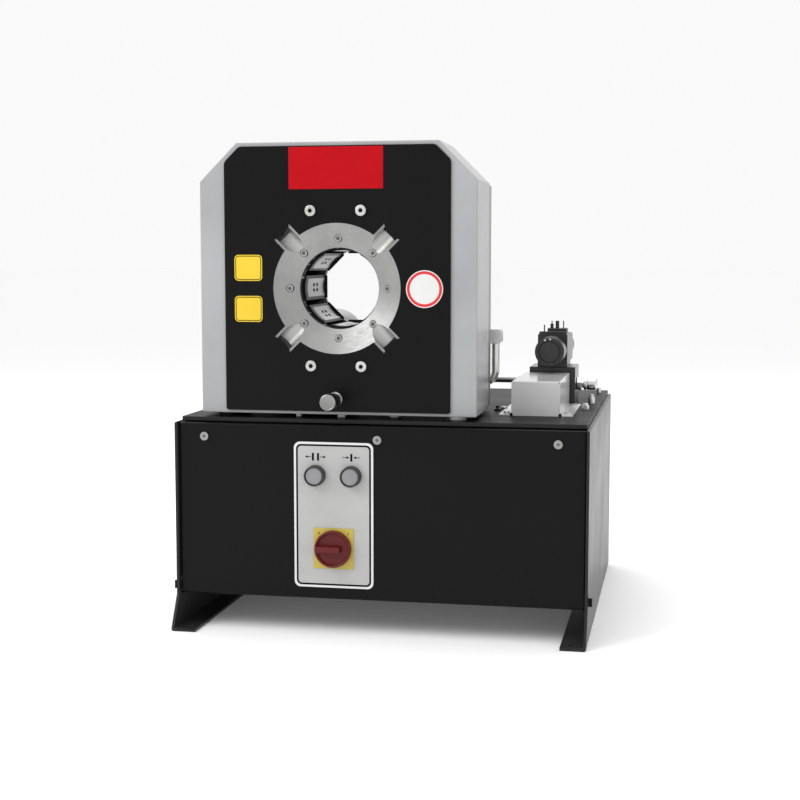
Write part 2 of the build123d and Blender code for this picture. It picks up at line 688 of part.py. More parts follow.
def rest_peg():
    z = HEAD_Z - 160.5
    collar = rod_y(HEAD_X, z, 11.5, 13.0, PANEL_Y0)
    collar = chamfer(collar.edges().group_by(Axis.Y)[0], 1.0)
    waist = rod_y(HEAD_X, z, 8.0, -14.0, 13.0)
    tip = rod_y(HEAD_X, z, 12.0, -32.0, -14.0)
    tip = fillet(tip.edges().filter_by(GeomType.CIRCLE), 1.5)
    stud = rod_y(HEAD_X, z, 6.0, PANEL_Y0, 45.0)
    return collar + waist + tip + stud


def badge_plate():
    plate = block(-136.0, 4.0, PANEL_Y0 - 1.0, PANEL_Y0, 646.5, 707.0)
    return fillet(plate.edges().filter_by(Axis.Y), 2.0)


def tag_plates():
    tags = None
    for z in (533.0, 473.0):
        tag = block(-219.0, -177.0, PANEL_Y0 - 0.8, PANEL_Y0, z - 19.0, z + 19.0)
        tag = fillet(tag.edges().filter_by(Axis.Y), 6.0)
        tags = tag if tags is None else tags + tag
    return tags


def tag_disc():
    return rod_y(64.2, 503.0, 27.0, PANEL_Y0 - 0.8, PANEL_Y0)


def head_feet():
    feet = None
    for x in (-FOOT_X, FOOT_X):
        for depth in (50, 128):
            foot = rod_z(HEAD_X + x, depth, FOOT_R, LID_Z1, HEAD_Z - HEAD_DOWN)
            foot = foot + rod_z(HEAD_X + x, depth, 6.0, LID_Z1, HEAD_Z - HEAD_DOWN + 22)
            feet = foot if feet is None else feet + foot
    # spacers under the middle of the front edge
    feet = feet + rod_z(12.0, 66.0, 11.0, LID_Z1, HEAD_Z - HEAD_DOWN)
    for x0, x1 in ((-132.0, -125.0), (-69.0, -58.0)):
        feet = feet + block(x0, x1, 42.0, 56.0, LID_Z1, HEAD_Z - HEAD_DOWN)
    return feet


def cavity(gap, side_margin):
    """Hollow between the open yokes, pulled in by gap, as (x, z) points around the bore."""
    flat = BACK_FLAT - gap
    steep = BACK_STEEP - gap
    side = BACK_SIDE - gap
    c67 = math.cos(math.radians(67.5))
    s67 = math.sin(math.radians(67.5))
    x1 = (steep - s67 * flat) / c67
    apex = side / math.cos(math.radians(45))
    x2 = (s67 * apex - steep) / (s67 - c67)
    z2 = apex - x2
    x3 = YOKE_HALF_W - side_margin
    z3 = apex - x3
    quarter = [(x1, flat), (x2, z2), (x3, z3)]
    right_down = [(x, -z) for x, z in reversed(quarter)]
    left_down = [(-x, -z) for x, z in quarter]
    left_up = [(-x, z) for x, z in reversed(quarter)]
    return quarter + right_down + left_down + left_up


def yoke(sign):
    body = head_block(-YOKE_HALF_W, YOKE_HALF_W, DIE_Y0, DIE_Y1, YOKE_END, YOKE_TOP)
    body = body - head_slab(cavity(0.0, -20.0), DIE_Y0 - 5, DIE_Y1 + 5)
    body = fillet(body.edges().filter_by(Axis.Y).group_by(Axis.Z)[-1], 4.0)
    if sign < 0:
        body = about_bore(body, 180)
    return body


def piston(sign):
    body = rod_z(HEAD_X, PISTON_Y, PISTON_R, HEAD_Z + YOKE_TOP, HEAD_Z + PISTON_TOP)
    body = chamfer(body.edges().group_by(Axis.Z)[-1], 1.5)
    groove = rod_z(HEAD_X, PISTON_Y, PISTON_R + 2, HEAD_Z + 130.5, HEAD_Z + 134.5)
    groove = groove - rod_z(HEAD_X, PISTON_Y, PISTON_R - 4, HEAD_Z + 130, HEAD_Z + 135)
    body = body - groove
    if sign < 0:
        body = body.mirror(Plane(origin=(HEAD_X, 0, HEAD_Z), z_dir=(0, 0, 1)))
    return body


def die(index):
    """One crimping die with its guide keys, at its place around the bore."""
    angle = 45 * index
    slope = math.tan(math.radians(22.5))
    inset = DIE_SIDE_GAP / math.cos(math.radians(22.5))
    far = 150.0
    near = DIE_LIP_R
    wedge_points = [
        (near, -(near * slope - inset)),
        (far, -(far * slope - inset)),
        (far, far * slope - inset),
        (near, near * slope - inset),
    ]
    wedge = about_bore(head_slab(wedge_points, DIE_Y0, DIE_Y1), angle)
    wedge = wedge & head_slab(cavity(FACE_GAP, 2.0), DIE_Y0 - 1, DIE_Y1 + 1)
    # inner faces: the flat and the hollow seat in front of the back lip
    step = head_block(0, DIE_FLAT_R, DIE_Y0 - 5, DIE_LIP_Y, -40, 40)
    seat = rod_y(HEAD_X + SEAT_C, HEAD_Z, SEAT_R, DIE_Y0 - 5, DIE_LIP_Y)
    band = head_block(0, 70, DIE_Y0 - 5, DIE_LIP_Y, -SEAT_HALF_W, SEAT_HALF_W)
    cutter = step + (seat & band)
    for depth in (113.0, 132.0):
        for across in (-4.0, 4.0):
            hole = rod_x(depth, HEAD_Z + across, 2.6, HEAD_X + 40, HEAD_X + 66)
            cutter = cutter + hole
    body = wedge - about_bore(cutter, angle)
    front_key = head_block(KEY_R0, KEY_R1, DIE_Y0 - KEY_DEPTH, DIE_Y0, -KEY_HALF_W, KEY_HALF_W)
    back_key = head_block(KEY_R0, KEY_R1, DIE_Y1, DIE_Y1 + KEY_DEPTH, -KEY_HALF_W, KEY_HALF_W)
    return body + about_bore(front_key, angle) + about_bore(back_key, angle)


# ---------------------------------------------------------------- valve group
def manifold_block():
    body = block(MAN_X0, MAN_X1, MAN_Y0, MAN_Y1, LID_Z1, MAN_Z1)
    body = chamfer(body.edges(), 0.8)
    body = body - rod_x(TUBE_PORT_Y, TUBE_Z, 7.0, MAN_X0 - 5, MAN_X0 + 16)
    return body - rod_x(TUBE_PORT_Y, 344.0, 5.0, MAN_X1 - 14, MAN_X1 + 5)


def valve_body():
    body = block(
        VALVE_X - VALVE_HALF_W,
        VALVE_X + VALVE_HALF_W,
        MAN_Y0,
        MAN_Y0 + 66,
        MAN_Z1,
        426.5,
    )
    body = fillet(body.edges().filter_by(Axis.Y).group_by(Axis.Z)[-1], 3.0)
    return body - rod_y(VALVE_X, VALVE_Z, SPOOL_R + 0.05, MAN_Y0 - 5, MAN_Y0 + 71)


def valve_coils():
    front = rod_y(VALVE_X, VALVE_Z, COIL_R, 241.0, MAN_Y0)
    front = chamfer(front.edges().group_by(Axis.Y)[0], 1.5)
    front = front - rod_y(VALVE_X, VALVE_Z, 17.0, 240.0, 245.0)
    back_block = block(VALVE_X - 23, VALVE_X + 23, MAN_Y0 + 66, 412.0, VALVE_Z - 23, VALVE_Z + 23)
    back_block = fillet(back_block.edges().filter_by(Axis.Y), 4.0)
    back = back_block + rod_y(VALVE_X, VALVE_Z, COIL_R, 412.0, 450.0)
    coils = front + back
    # inner room for the spool and its push pins
    coils = coils - rod_y(VALVE_X, VALVE_Z, SPOOL_R + 0.05, 262.0, MAN_Y0 + 1)
    coils = coils - rod_y(VALVE_X, VALVE_Z, SPOOL_R + 0.05, MAN_Y0 + 65, 430.0)
    return coils - rod_y(VALVE_X, VALVE_Z, 3.05, 235.0, 455.0)


def valve_spool():
    spool = rod_y(VALVE_X, VALVE_Z, SPOOL_R, 272.0, 420.0)
    for depth in (302.0, 322.0, 342.0):
        ring = rod_y(VALVE_X, VALVE_Z, SPOOL_R + 2, depth, depth + 8)
        ring = ring - rod_y(VALVE_X, VALVE_Z, 5.5, depth - 1, depth + 9)
        spool = spool - ring
    spool = spool + rod_y(VALVE_X, VALVE_Z, 3.0, 243.5, 272.0)
    return spool + rod_y(VALVE_X, VALVE_Z, 3.0, 420.0, 447.5)


def valve_connector():
    base = block(VALVE_X - 10.5, VALVE_X + 20.5, 318.0, 345.0, 426.5, 434.0)
    base = base + block(VALVE_X - 22, VALVE_X + 22, 300.0, 318.0, 426.5, 429.5)
    pins = rod_z(219.7, 330.0, 2.6, 434.0, 441.2) + rod_z(219.7, 330.0, 0.9, 441.2, 446.0)
    pins = pins + rod_z(228.4, 330.0, 3.0, 434.0, 446.0)
    pins = pins + rod_z(238.3, 330.0, 0.9, 434.0, 446.0)
    pins = pins + rod_z(209.4, 309.0, 1.0, 429.5, 440.0)
    return base + pins


def tube_along(points, radius):
    path = FilletPolyline(*[(x, dy(d), z) for x, d, z in points], radius=radius)
    start = Plane(origin=path @ 0, z_dir=path % 0)
    return sweep(start * Circle(TUBE_R), path=path)


def pressure_tube():
    points = [
        (PORT_X, REAR_Y1 + 36.0, TUBE_Z),
        (PORT_X, TUBE_PORT_Y, TUBE_Z),
        (MAN_X0 - 14.0, TUBE_PORT_Y, TUBE_Z),
    ]
    return tube_along(points, 17.0)


def link_tube():
    points = [
        (LINK_X, LINK_Y, 416.0),
        (LINK_X, LINK_Y, LINK_Z),
        (PORT_BLOCK_X1 + 10.0, LINK_Y, LINK_Z),
    ]
    return tube_along(points, 17.0)


def tube_fittings():
    elbow = block(112.0, 154.0, REAR_Y1, REAR_Y1 + 26.0, 416.0, 438.0)
    elbow = fillet(elbow.edges().filter_by(Axis.Y), 4.0)
    elbow = elbow + rod_y(HEAD_X + 188, 427.0, 5.0, REAR_Y1 - 18, REAR_Y1)
    port = block(PORT_X - 16.0, PORT_BLOCK_X1, REAR_Y1, REAR_Y1 + 26.0, 338.0, 370.0)
    port = chamfer(port.edges().filter_by(Axis.Y), 1.5)
    port = port + rod_y(PORT_X, TUBE_Z, 5.0, REAR_Y1 - 18, REAR_Y1)
    port = port + hex_y(PORT_X, TUBE_Z, 22.0, REAR_Y1 + 26.0, REAR_Y1 + 36.0)
    port = port + hex_x(LINK_Y, LINK_Z, 19.0, PORT_BLOCK_X1, PORT_BLOCK_X1 + 10.0)
    nut = hex_x(TUBE_PORT_Y, TUBE_Z, 27.0, MAN_X0 - 14.0, MAN_X0)
    collar = rod_x(TUBE_PORT_Y, TUBE_Z, 11.5, MAN_X0 - 22.0, MAN_X0 - 14.0)
    collar = collar - rod_x(TUBE_PORT_Y, TUBE_Z, TUBE_R, MAN_X0 - 23.0, MAN_X0 - 14.0)
    return elbow + port + nut + rod_x(TUBE_PORT_Y, TUBE_Z, 7.0, MAN_X0, MAN_X0 + 14) + collar


def test_coupling():
    body = rod_x(TUBE_PORT_Y, 344.0, 5.0, MAN_X1 - 12, MAN_X1)
    body = body + hex_x(TUBE_PORT_Y, 344.0, 19.0, MAN_X1, MAN_X1 + 8)
    body = body + rod_x(TUBE_PORT_Y, 344.0, 6.0, MAN_X1 + 8, MAN_X1 + 13)
    body = body + rod_x(TUBE_PORT_Y, 344.0, 8.0, MAN_X1 + 13, MAN_X1 + 30)
    return body + rod_x(TUBE_PORT_Y, 344.0, 5.0, MAN_X1 + 30, MAN_X1 + 33)


def cable_cover():
    shell = block(BOX_X0, BOX_X1, BOX_Y0, BOX_Y1, LID_Z1, BOX_Z1)
    shell = fillet(shell.edges().group_by(Axis.Z)[-1], 2.0)
    hollow = block(BOX_X0 + 2, BOX_X1 - 2, BOX_Y0 + 2, BOX_Y1 - 2, LID_Z1 - 1, BOX_Z1 - 2)
    shell = shell - hollow
    for x0, x1 in ((BOX_X0 - BOX_FLANGE, BOX_X0), (BOX_X1, BOX_X1 + BOX_FLANGE)):
        flange = block(x0, x1, BOX_Y0, BOX_Y1, LID_Z1, LID_Z1 + 2)
        for depth in (BOX_Y0 + 22, BOX_Y1 - 22):
            flange = flange - rod_z((x0 + x1) / 2, depth, 2.7, LID_Z1 - 2, LID_Z1 + 5)
        shell = shell + flange
    for x in (BOX_X0, BOX_X1):
        shell = shell - rod_y(x, LID_Z1 + 2.0, 2.5, BOX_Y0 - 2, BOX_Y0 + 3)
    return shell


def lid_plugs():
    plugs = hex_z(282.3, 222.0, 10.0, LID_Z1, LID_Z1 + 7) + rod_z(282.3, 222.0, 4.0, LID_Z1 + 7, LID_Z1 + 9.5)
    plugs = plugs + rod_z(285.7, 316.0, 5.2, LID_Z1, LID_Z1 + 11) + rod_z(285.7, 316.0, 3.6, LID_Z1 + 11, LID_Z1 + 15)
    plugs = plugs + rod_z(285.8, 504.0, 4.5, LID_Z1, LID_Z1 + 9)
    for x0 in (BOX_X0 - BOX_FLANGE / 2, BOX_X1 + BOX_FLANGE / 2):
        for depth in (BOX_Y0 + 22, BOX_Y1 - 22):
            plugs = plugs + rod_z(x0, depth, 2.6, LID_Z1, LID_Z1 + 2)
            plugs = plugs + rod_z(x0, depth, 4.8, LID_Z1 + 2, LID_Z1 + 4.6)
    return plugs


# ---------------------------------------------------------------- build
os.makedirs("parts", exist_ok=True)

save("side_plate_left", side_plate(-1))
save("side_plate_right", side_plate(1))
save("front_cover", front_cover())
save("rear_cover", rear_cover())
save("oil_tank", oil_tank())
save("drain_plug", drain_plug())
save("lid_plate", lid_plate())
save("cabinet_screws", cabinet_screws())
save("control_plate", control_plate())
save("button_left_housing", button_housing(BUTTON_X[0]))
save("button_left_cap", button_cap(BUTTON_X[0]))
save("button_right_housing", button_housing(BUTTON_X[1]))
save("button_right_cap", button_cap(BUTTON_X[1]))
save("switch_plate", switch_plate())
save("switch_body", switch_body())
save("switch_knob", switch_knob())
save("contactor_unit", contactor_unit())
save("motor_housing", motor_housing())
save("motor_rotor", motor_rotor())
save("gear_pump", gear_pump())
save("suction_strainer", suction_strainer())
save("filler_neck", filler_neck())
save("filler_cap", filler_cap())
save("cable_gland", cable_gland())
save("head_frame", head_frame())
save("head_rear_housing", head_rear_housing())
save("rear_screws", rear_screws())
save("front_panel", front_panel())
save("funnel_ring", funnel_ring())
save("ring_screws", ring_screws())
save("guide_disc", guide_disc())
save("panel_screws", panel_screws())
save("rest_peg", rest_peg())
save("badge_plate", badge_plate())
save("tag_plates", tag_plates())
save("tag_disc", tag_disc())
save("head_feet", head_feet())
save("yoke_upper", yoke(1))
save("yoke_lower", yoke(-1))
save("piston_upper", piston(1))
save("piston_lower", piston(-1))
for number in range(DIE_COUNT):
    save("die_" + str(number + 1), die(number))
save("manifold_block", manifold_block())
save("valve_body", valve_body())
save("valve_coils", valve_coils())
save("valve_spool", valve_spool())
save("valve_connector", valve_connector())
save("pressure_tube", pressure_tube())
save("link_tube", link_tube())
save("tube_fittings", tube_fittings())
save("test_coupling", test_coupling())
save("cable_cover", cable_cover())
save("lid_plugs", lid_plugs())
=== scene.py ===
import math

import bmesh
import bpy
from mathutils import Matrix, Vector


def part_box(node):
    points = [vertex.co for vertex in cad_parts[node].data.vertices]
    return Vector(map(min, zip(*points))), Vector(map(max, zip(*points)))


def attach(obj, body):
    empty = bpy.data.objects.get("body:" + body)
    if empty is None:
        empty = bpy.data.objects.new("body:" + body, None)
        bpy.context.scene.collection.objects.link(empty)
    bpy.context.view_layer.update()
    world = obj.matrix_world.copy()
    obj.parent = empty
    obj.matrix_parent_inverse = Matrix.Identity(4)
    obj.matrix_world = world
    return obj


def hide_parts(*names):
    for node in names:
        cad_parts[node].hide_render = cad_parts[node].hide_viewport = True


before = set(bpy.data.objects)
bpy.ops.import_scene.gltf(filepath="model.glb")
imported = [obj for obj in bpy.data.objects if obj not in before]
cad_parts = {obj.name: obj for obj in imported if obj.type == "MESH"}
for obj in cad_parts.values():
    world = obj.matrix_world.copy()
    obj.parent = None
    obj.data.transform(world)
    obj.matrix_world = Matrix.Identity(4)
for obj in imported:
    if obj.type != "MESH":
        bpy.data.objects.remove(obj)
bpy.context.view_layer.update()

# ---------------------------------------------------------------- studio
# A pale seamless floor, a white surround and three large soft lamps.
# The camera stands in front and a little to the right, looking slightly down.
floor_mesh = bpy.data.meshes.new("studio_floor")
floor_shape = bmesh.new()
bmesh.ops.create_circle(floor_shape, cap_ends=True, segments=96, radius=60.0,
                        matrix=Matrix.Translation((0, 0, -0.0004)))
floor_shape.to_mesh(floor_mesh)
floor_shape.free()
studio_floor = bpy.data.objects.new("studio_floor", floor_mesh)
bpy.context.scene.collection.objects.link(studio_floor)
floor_paint = bpy.data.materials.new("studio_floor_paint")
floor_paint.use_nodes = True
floor_shader = floor_paint.node_tree.nodes["Principled BSDF"]
floor_shader.inputs["Base Color"].default_value = (0.93, 0.93, 0.93, 1)
floor_shader.inputs["Emission Color"].default_value = (1, 1, 1, 1)
floor_shader.inputs["Emission Strength"].default_value = 0.06
floor_shader.inputs["Roughness"].default_value = 0.7
floor_shader.inputs["Specular IOR Level"].default_value = 0.05
floor_mesh.materials.append(floor_paint)

surround = bpy.data.worlds.new("studio_surround")
surround.use_nodes = True
surround.node_tree.nodes["Background"].inputs["Color"].default_value = (1.0, 1.0, 1.0, 1)
surround.node_tree.nodes["Background"].inputs["Strength"].default_value = 0.95
bpy.context.scene.world = surround
bpy.context.scene.view_settings.view_transform = "Standard"


def soft_lamp(name, place, towards, size, watts):
    lamp = bpy.data.lights.new(name, "AREA")
    lamp.shape = "RECTANGLE"
    lamp.size, lamp.size_y = size
    lamp.energy = watts
    stand = bpy.data.objects.new(name, lamp)
    stand.location = place
    stand.rotation_euler = (Vector(towards) - Vector(place)).to_track_quat("-Z", "Y").to_euler()
    bpy.context.scene.collection.objects.link(stand)


soft_lamp("lamp_left", (-2.2, -2.0, 2.3), (0, 0, 0.35), (1.8, 1.8), 48)
soft_lamp("lamp_top", (0.2, -0.2, 2.9), (0, 0, 0), (2.0, 2.0), 22)
soft_lamp("lamp_back", (-0.4, 2.4, 2.6), (0, 0, 0.3), (2.4, 1.2), 28)

lens = bpy.data.cameras.new("camera")
lens.lens = 65.76
lens.sensor_width = 36.0
lens.clip_start = 0.01
camera = bpy.data.objects.new("camera", lens)
camera.location = (0.43317, -2.30648, 0.54998)
camera.rotation_euler = (math.radians(84.38), 0, math.radians(11.08))
bpy.context.scene.collection.objects.link(camera)
bpy.context.scene.camera = camera

# ---------------------------------------------------------------- side plates
# The machine stands on two legs folded from 4 mm sheet steel, each with a foot flange to bolt
# down and a top flange under the lid. They are sprayed with black powder and baked.
MM = 0.001


def wire(finish, kind, sockets=(), **settings):
    """Adds a node to a finish; a socket takes a number, a colour or another node's output."""
    made = finish.node_tree.nodes.new(kind)
    for key, value in settings.items():
        setattr(made, key, value)
    for key, value in dict(sockets).items():
        if isinstance(value, bpy.types.NodeSocket):
            finish.node_tree.links.new(value, made.inputs[key])
        else:
            made.inputs[key].default_value = value
    return made


def start_finish(name, metallic=0.0, specular=0.5):
    finish = bpy.data.materials.new(name)
    finish.use_nodes = True
    shader = finish.node_tree.nodes["Principled BSDF"]
    shader.inputs["Metallic"].default_value = metallic
    shader.inputs["Specular IOR Level"].default_value = specular
    return finish


def lay(finish, colour, roughness, normal):
    """Joins a finish's colour, roughness and relief to its shader."""
    shader = finish.node_tree.nodes["Principled BSDF"]
    for key, made in (("Base Color", colour), ("Roughness", roughness), ("Normal", normal)):
        finish.node_tree.links.new(made, shader.inputs[key])


def spot(finish):
    """The point that is being coloured."""
    return wire(finish, "ShaderNodeTexCoord").outputs["Object"]


def grain(finish, scale, detail=2.0, where=None):
    """Cloudy pattern, of so many clouds to the metre."""
    return wire(finish, "ShaderNodeTexNoise",
                {"Vector": where or spot(finish), "Scale": scale, "Detail": detail}).outputs["Fac"]


def between(finish, value, low, high, start=0.3, end=0.7):
    """Spreads a grain between two levels."""
    return wire(finish, "ShaderNodeMapRange", {"Value": value, "From Min": start, "From Max": end,
                                               "To Min": low, "To Max": high}).outputs["Result"]


def blend_colour(finish, amount, first, second):
    mix = wire(finish, "ShaderNodeMix", data_type="RGBA")
    for socket, value in ((mix.inputs[0], amount), (mix.inputs[6], first), (mix.inputs[7], second)):
        if isinstance(value, bpy.types.NodeSocket):
            finish.node_tree.links.new(value, socket)
        else:
            socket.default_value = value if isinstance(value, float) else (*value, 1)
    return mix.outputs[2]


def shade(colour, times, plus=0.0):
    return tuple(min(1.0, c * times + plus) for c in colour)


def mottled(finish, pattern, colour, darker, lighter):
    """A colour that drifts between a darker and a lighter shade of itself."""
    return blend_colour(finish, between(finish, pattern, 0.0, 1.0),
                        shade(colour, darker), shade(colour, lighter))


def rounded(finish, radius):
    """Normal of the surface with its corners eased, as a file or a coat of paint leaves them."""
    return wire(finish, "ShaderNodeBevel", {"Radius": radius * MM}, samples=4).outputs["Normal"]


def vector_sum(finish, operation, *values):
    made = wire(finish, "ShaderNodeVectorMath", dict(enumerate(values)), operation=operation)
    return made.outputs["Value" if operation in ("DOT_PRODUCT", "LENGTH") else "Vector"]


def corner_wear(finish, eased, strength):
    """How near a point is to a corner, from the difference between true and eased normal."""
    true = wire(finish, "ShaderNodeNewGeometry").outputs["Normal"]
    return between(finish, vector_sum(finish, "DOT_PRODUCT", true, eased),
                   0.0, strength, start=0.995, end=0.80)


def relief(finish, height, distance, normal=None, strength=1.0):
    sockets = {"Height": height, "Distance": distance * MM, "Strength": strength}
    if normal is not None:
        sockets["Normal"] = normal
    return wire(finish, "ShaderNodeBump", sockets).outputs["Normal"]


def powder_coat(name, colour, roughness, specular, peel=0.05, rub=0.25, corner=0.8):
    """Baked powder: faint orange peel, cloudy gloss, corners rubbed a little lighter."""
    finish = start_finish(name, specular=specular)
    cloud = grain(finish, 7.0, 4.0)
    eased = rounded(finish, corner)
    tone = blend_colour(finish, corner_wear(finish, eased, rub),
                        mottled(finish, cloud, colour, 0.90, 1.07), shade(colour, 1.25, 0.03))
    lay(finish, tone, between(finish, cloud, roughness * 0.88, roughness * 1.14),
        relief(finish, grain(finish, 520.0), peel, eased, 0.35))
    return finish


def dress(finish, *nodes):
    """Gives solids of the frame their finish."""
    for node in nodes:
        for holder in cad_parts[node].material_slots:
            holder.material = finish


black_powder = powder_coat("black_powder", (0.022, 0.022, 0.0223), 0.30, 0.13)
dress(black_powder, "side_plate_left", "side_plate_right")

# ---------------------------------------------------------------- oil tank
# A welded steel tank hangs between the legs, painted grey inside and out, with a plated drain
# plug low on its right wall. It is closed by the lid and holds the pump.
tank_grey = powder_coat("tank_grey", (0.16, 0.17, 0.175), 0.42, 0.5, peel=0.08)
dress(tank_grey, "oil_tank")


def plated_steel(name, colour, roughness, mottle=0.12, corner=0.5):
    """Zinc plate: bright, slightly cloudy, with fine scratches."""
    finish = start_finish(name, metallic=1.0)
    cloud = grain(finish, 60.0, 3.0)
    lay(finish, mottled(finish, cloud, colour, 1 - mottle, 1 + mottle),
        between(finish, cloud, roughness * 0.8, roughness * 1.25),
        relief(finish, grain(finish, 1400.0), 0.012, rounded(finish, corner), 0.5))
    return finish


zinc_plate = plated_steel("zinc_plate", (0.62, 0.62, 0.60), 0.30)
dress(zinc_plate, "drain_plug")

# ---------------------------------------------------------------- pump and strainer
# The gear pump hangs under the lid inside the tank, a cast-iron bell and body, and draws oil
# through a wire-mesh strainer screwed to its inlet.
cast_iron = start_finish("cast_iron", metallic=0.55, specular=0.4)
lumps = grain(cast_iron, 420.0, 5.0)
lay(cast_iron, blend_colour(cast_iron, between(cast_iron, lumps, 0.0, 1.0),
                            (0.05, 0.05, 0.052), (0.10, 0.10, 0.10)),
    between(cast_iron, lumps, 0.45, 0.7),
    relief(cast_iron, lumps, 0.5, rounded(cast_iron, 1.0), 0.6))
dress(cast_iron, "gear_pump")

mesh_wire = start_finish("strainer_mesh", metallic=1.0)
cells = wire(mesh_wire, "ShaderNodeTexVoronoi", {"Vector": spot(mesh_wire), "Scale": 520.0,
                                                 "Randomness": 0.15}).outputs["Distance"]
lay(mesh_wire, blend_colour(mesh_wire, between(mesh_wire, cells, 0.0, 1.0, 0.2, 0.5),
                            (0.10, 0.10, 0.10), (0.58, 0.57, 0.54)),
    between(mesh_wire, cells, 0.6, 0.3), relief(mesh_wire, cells, 0.4))
dress(mesh_wire, "suction_strainer")

# ---------------------------------------------------------------- front and rear covers
# Sheet-steel covers close the cabinet. The front one has folded rims and is held by three
# button-head screws; the rear one has rows of pressed hoods over its ventilation slots.
cover_powder = powder_coat("cover_powder", (0.0042, 0.0042, 0.0044), 0.33, 0.11, peel=0.06)
dress(cover_powder, "front_cover", "rear_cover")
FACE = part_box("front_cover")[0].y           # the front cover's outer face; depths start here
ACROSS = (1, 0, 0)


def at(x, depth, z):
    """A place on the machine in millimetres: across, behind the front cover's face, up."""
    return Vector((x * MM, FACE + depth * MM, z * MM))


def new_piece(name, shape, finishes, body, stands_for=(), crease=32):
    """Ends a shape: merged, facing outwards, smooth up to its creases, riding on its body."""
    bmesh.ops.remove_doubles(shape, verts=shape.verts, dist=2e-6)
    bmesh.ops.recalc_face_normals(shape, faces=shape.faces)
    mesh = bpy.data.meshes.new(name)
    shape.to_mesh(mesh)
    shape.free()
    for finish in finishes:
        mesh.materials.append(finish)
    mesh.polygons.foreach_set("use_smooth", [True] * len(mesh.polygons))
    mesh.set_sharp_from_angle(angle=math.radians(crease))
    piece = bpy.data.objects.new(name, mesh)
    bpy.context.scene.collection.objects.link(piece)
    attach(piece, body)
    facing = piece.modifiers.new("facing", "WEIGHTED_NORMAL")
    facing.keep_sharp = True
    if stands_for:
        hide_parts(*stands_for)
    return piece


HOOD_HALF, HOOD_RISE, HOOD_FOOT = 46, 5.0, -1.5     # half length, and heights at its slot
REAR_FACE = 552.0
hoods = bmesh.new()
for column in (-150, 0, 150):
    for row in range(6):
        slot_z = 190 + 14 * row
        ends = [hoods.verts.new(at(column + side * HOOD_HALF, REAR_FACE, slot_z + HOOD_RISE))
                for side in (-1, 1)]
        lip = hoods.edges.new(ends)
        before = set(hoods.verts) - set(ends)
        bmesh.ops.spin(hoods, geom=ends + [lip], cent=at(column, REAR_FACE, slot_z + HOOD_FOOT),
                       axis=ACROSS, angle=math.radians(-80), steps=6, dvec=(0, 0, 0),
                       use_merge=False, use_duplicate=False)
        swept = [v for v in hoods.verts if v not in before]
        for side in (-1, 1):
            end_x = column + side * HOOD_HALF
            rim = [v for v in swept if abs(v.co.x - end_x * MM) < 1e-6]
            rim.sort(key=lambda v: v.co.y)
            foot = hoods.verts.new(at(end_x, REAR_FACE, slot_z + HOOD_FOOT))
            hoods.faces.new(rim + [foot])
pressed_hoods = new_piece("rear_cover_hoods", hoods, [cover_powder], "machine")
wall = pressed_hoods.modifiers.new("sheet", "SOLIDIFY")
wall.thickness = 0.8 * MM
wall.offset = -1.0

# ---------------------------------------------------------------- lid
# A 6 mm steel plate bolted over the tank carries the head, the motor and the valve. It is
# sprayed the same black but to a higher gloss, and slots near its front take the cover's hooks.
lid_gloss = powder_coat("lid_gloss", (0.006, 0.006, 0.006), 0.37, 0.035, peel=0.02)
cut_edge = powder_coat("cut_edge_black", (0.020, 0.020, 0.020), 0.5, 0.15, peel=0.02, rub=0.1)
UP = (0, 0, 1)


def limits(node):
    """A solid's lowest and highest corner, in millimetres, as 'at' counts them."""
    return [Vector((corner.x, corner.y - FACE, corner.z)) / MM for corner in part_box(node)]


def middle(node):
    low, high = limits(node)
    return (low + high) / 2


def level_corners(x, y, z):
    """The corners of a level rectangle between pairs of limits in metres."""
    return [(x[0], y[0], z), (x[1], y[0], z), (x[1], y[1], z), (x[0], y[1], z)]


def once(things):
    """Each of these once, in the order in which they come, so that every run cuts alike."""
    return list(dict.fromkeys(things))


def loop(shape, points):
    """A closed wire outline through points."""
    verts = [shape.verts.new(p) for p in points]
    return [shape.edges.new((a, b)) for a, b in zip(verts, verts[1:] + verts[:1])]


def round_corners(shape, edges, radius, segments=5):
    """Rounds an outline's corners and gives back its edges."""
    before = set(shape.faces)
    bmesh.ops.contextual_create(shape, geom=edges)
    corners = once(v for e in edges for v in e.verts)
    bmesh.ops.bevel(shape, geom=corners, offset=radius * MM, offset_type="OFFSET",
                    segments=segments, profile=0.5, affect="VERTICES", material=-1)
    rim = []
    for filled in [f for f in shape.faces if f not in before]:
        rim += list(filled.edges)
        shape.faces.remove(filled)
    return rim


def ring_of(shape, centre, axis, radius, steps=40):
    """A closed wire circle."""
    turn = Vector(UP).rotation_difference(Vector(axis)).to_matrix().to_4x4()
    verts = bmesh.ops.create_circle(shape, cap_ends=False, segments=steps, radius=radius * MM,
                                    matrix=Matrix.Translation(centre) @ turn)["verts"]
    return once(e for v in verts for e in v.link_edges)


def soften(shape, verts, width, segments=2, corner=30):
    """Eases the corners among these points; gives back every point of the eased shape."""
    kept = once(verts)
    bmesh.ops.recalc_face_normals(shape, faces=once(f for v in kept for f in v.link_faces))
    among = set(kept)
    sharp = [e for e in shape.edges if e.verts[0] in among and e.verts[1] in among
             and len(e.link_faces) == 2 and e.calc_face_angle(0.0) > math.radians(corner)]
    made = bmesh.ops.bevel(shape, geom=sharp, offset=width * MM, offset_type="OFFSET",
                           segments=segments, profile=0.5, affect="EDGES", material=-1,
                           clamp_overlap=True)
    return [v for v in kept if v.is_valid] + [v for v in made["verts"] if v.is_valid]


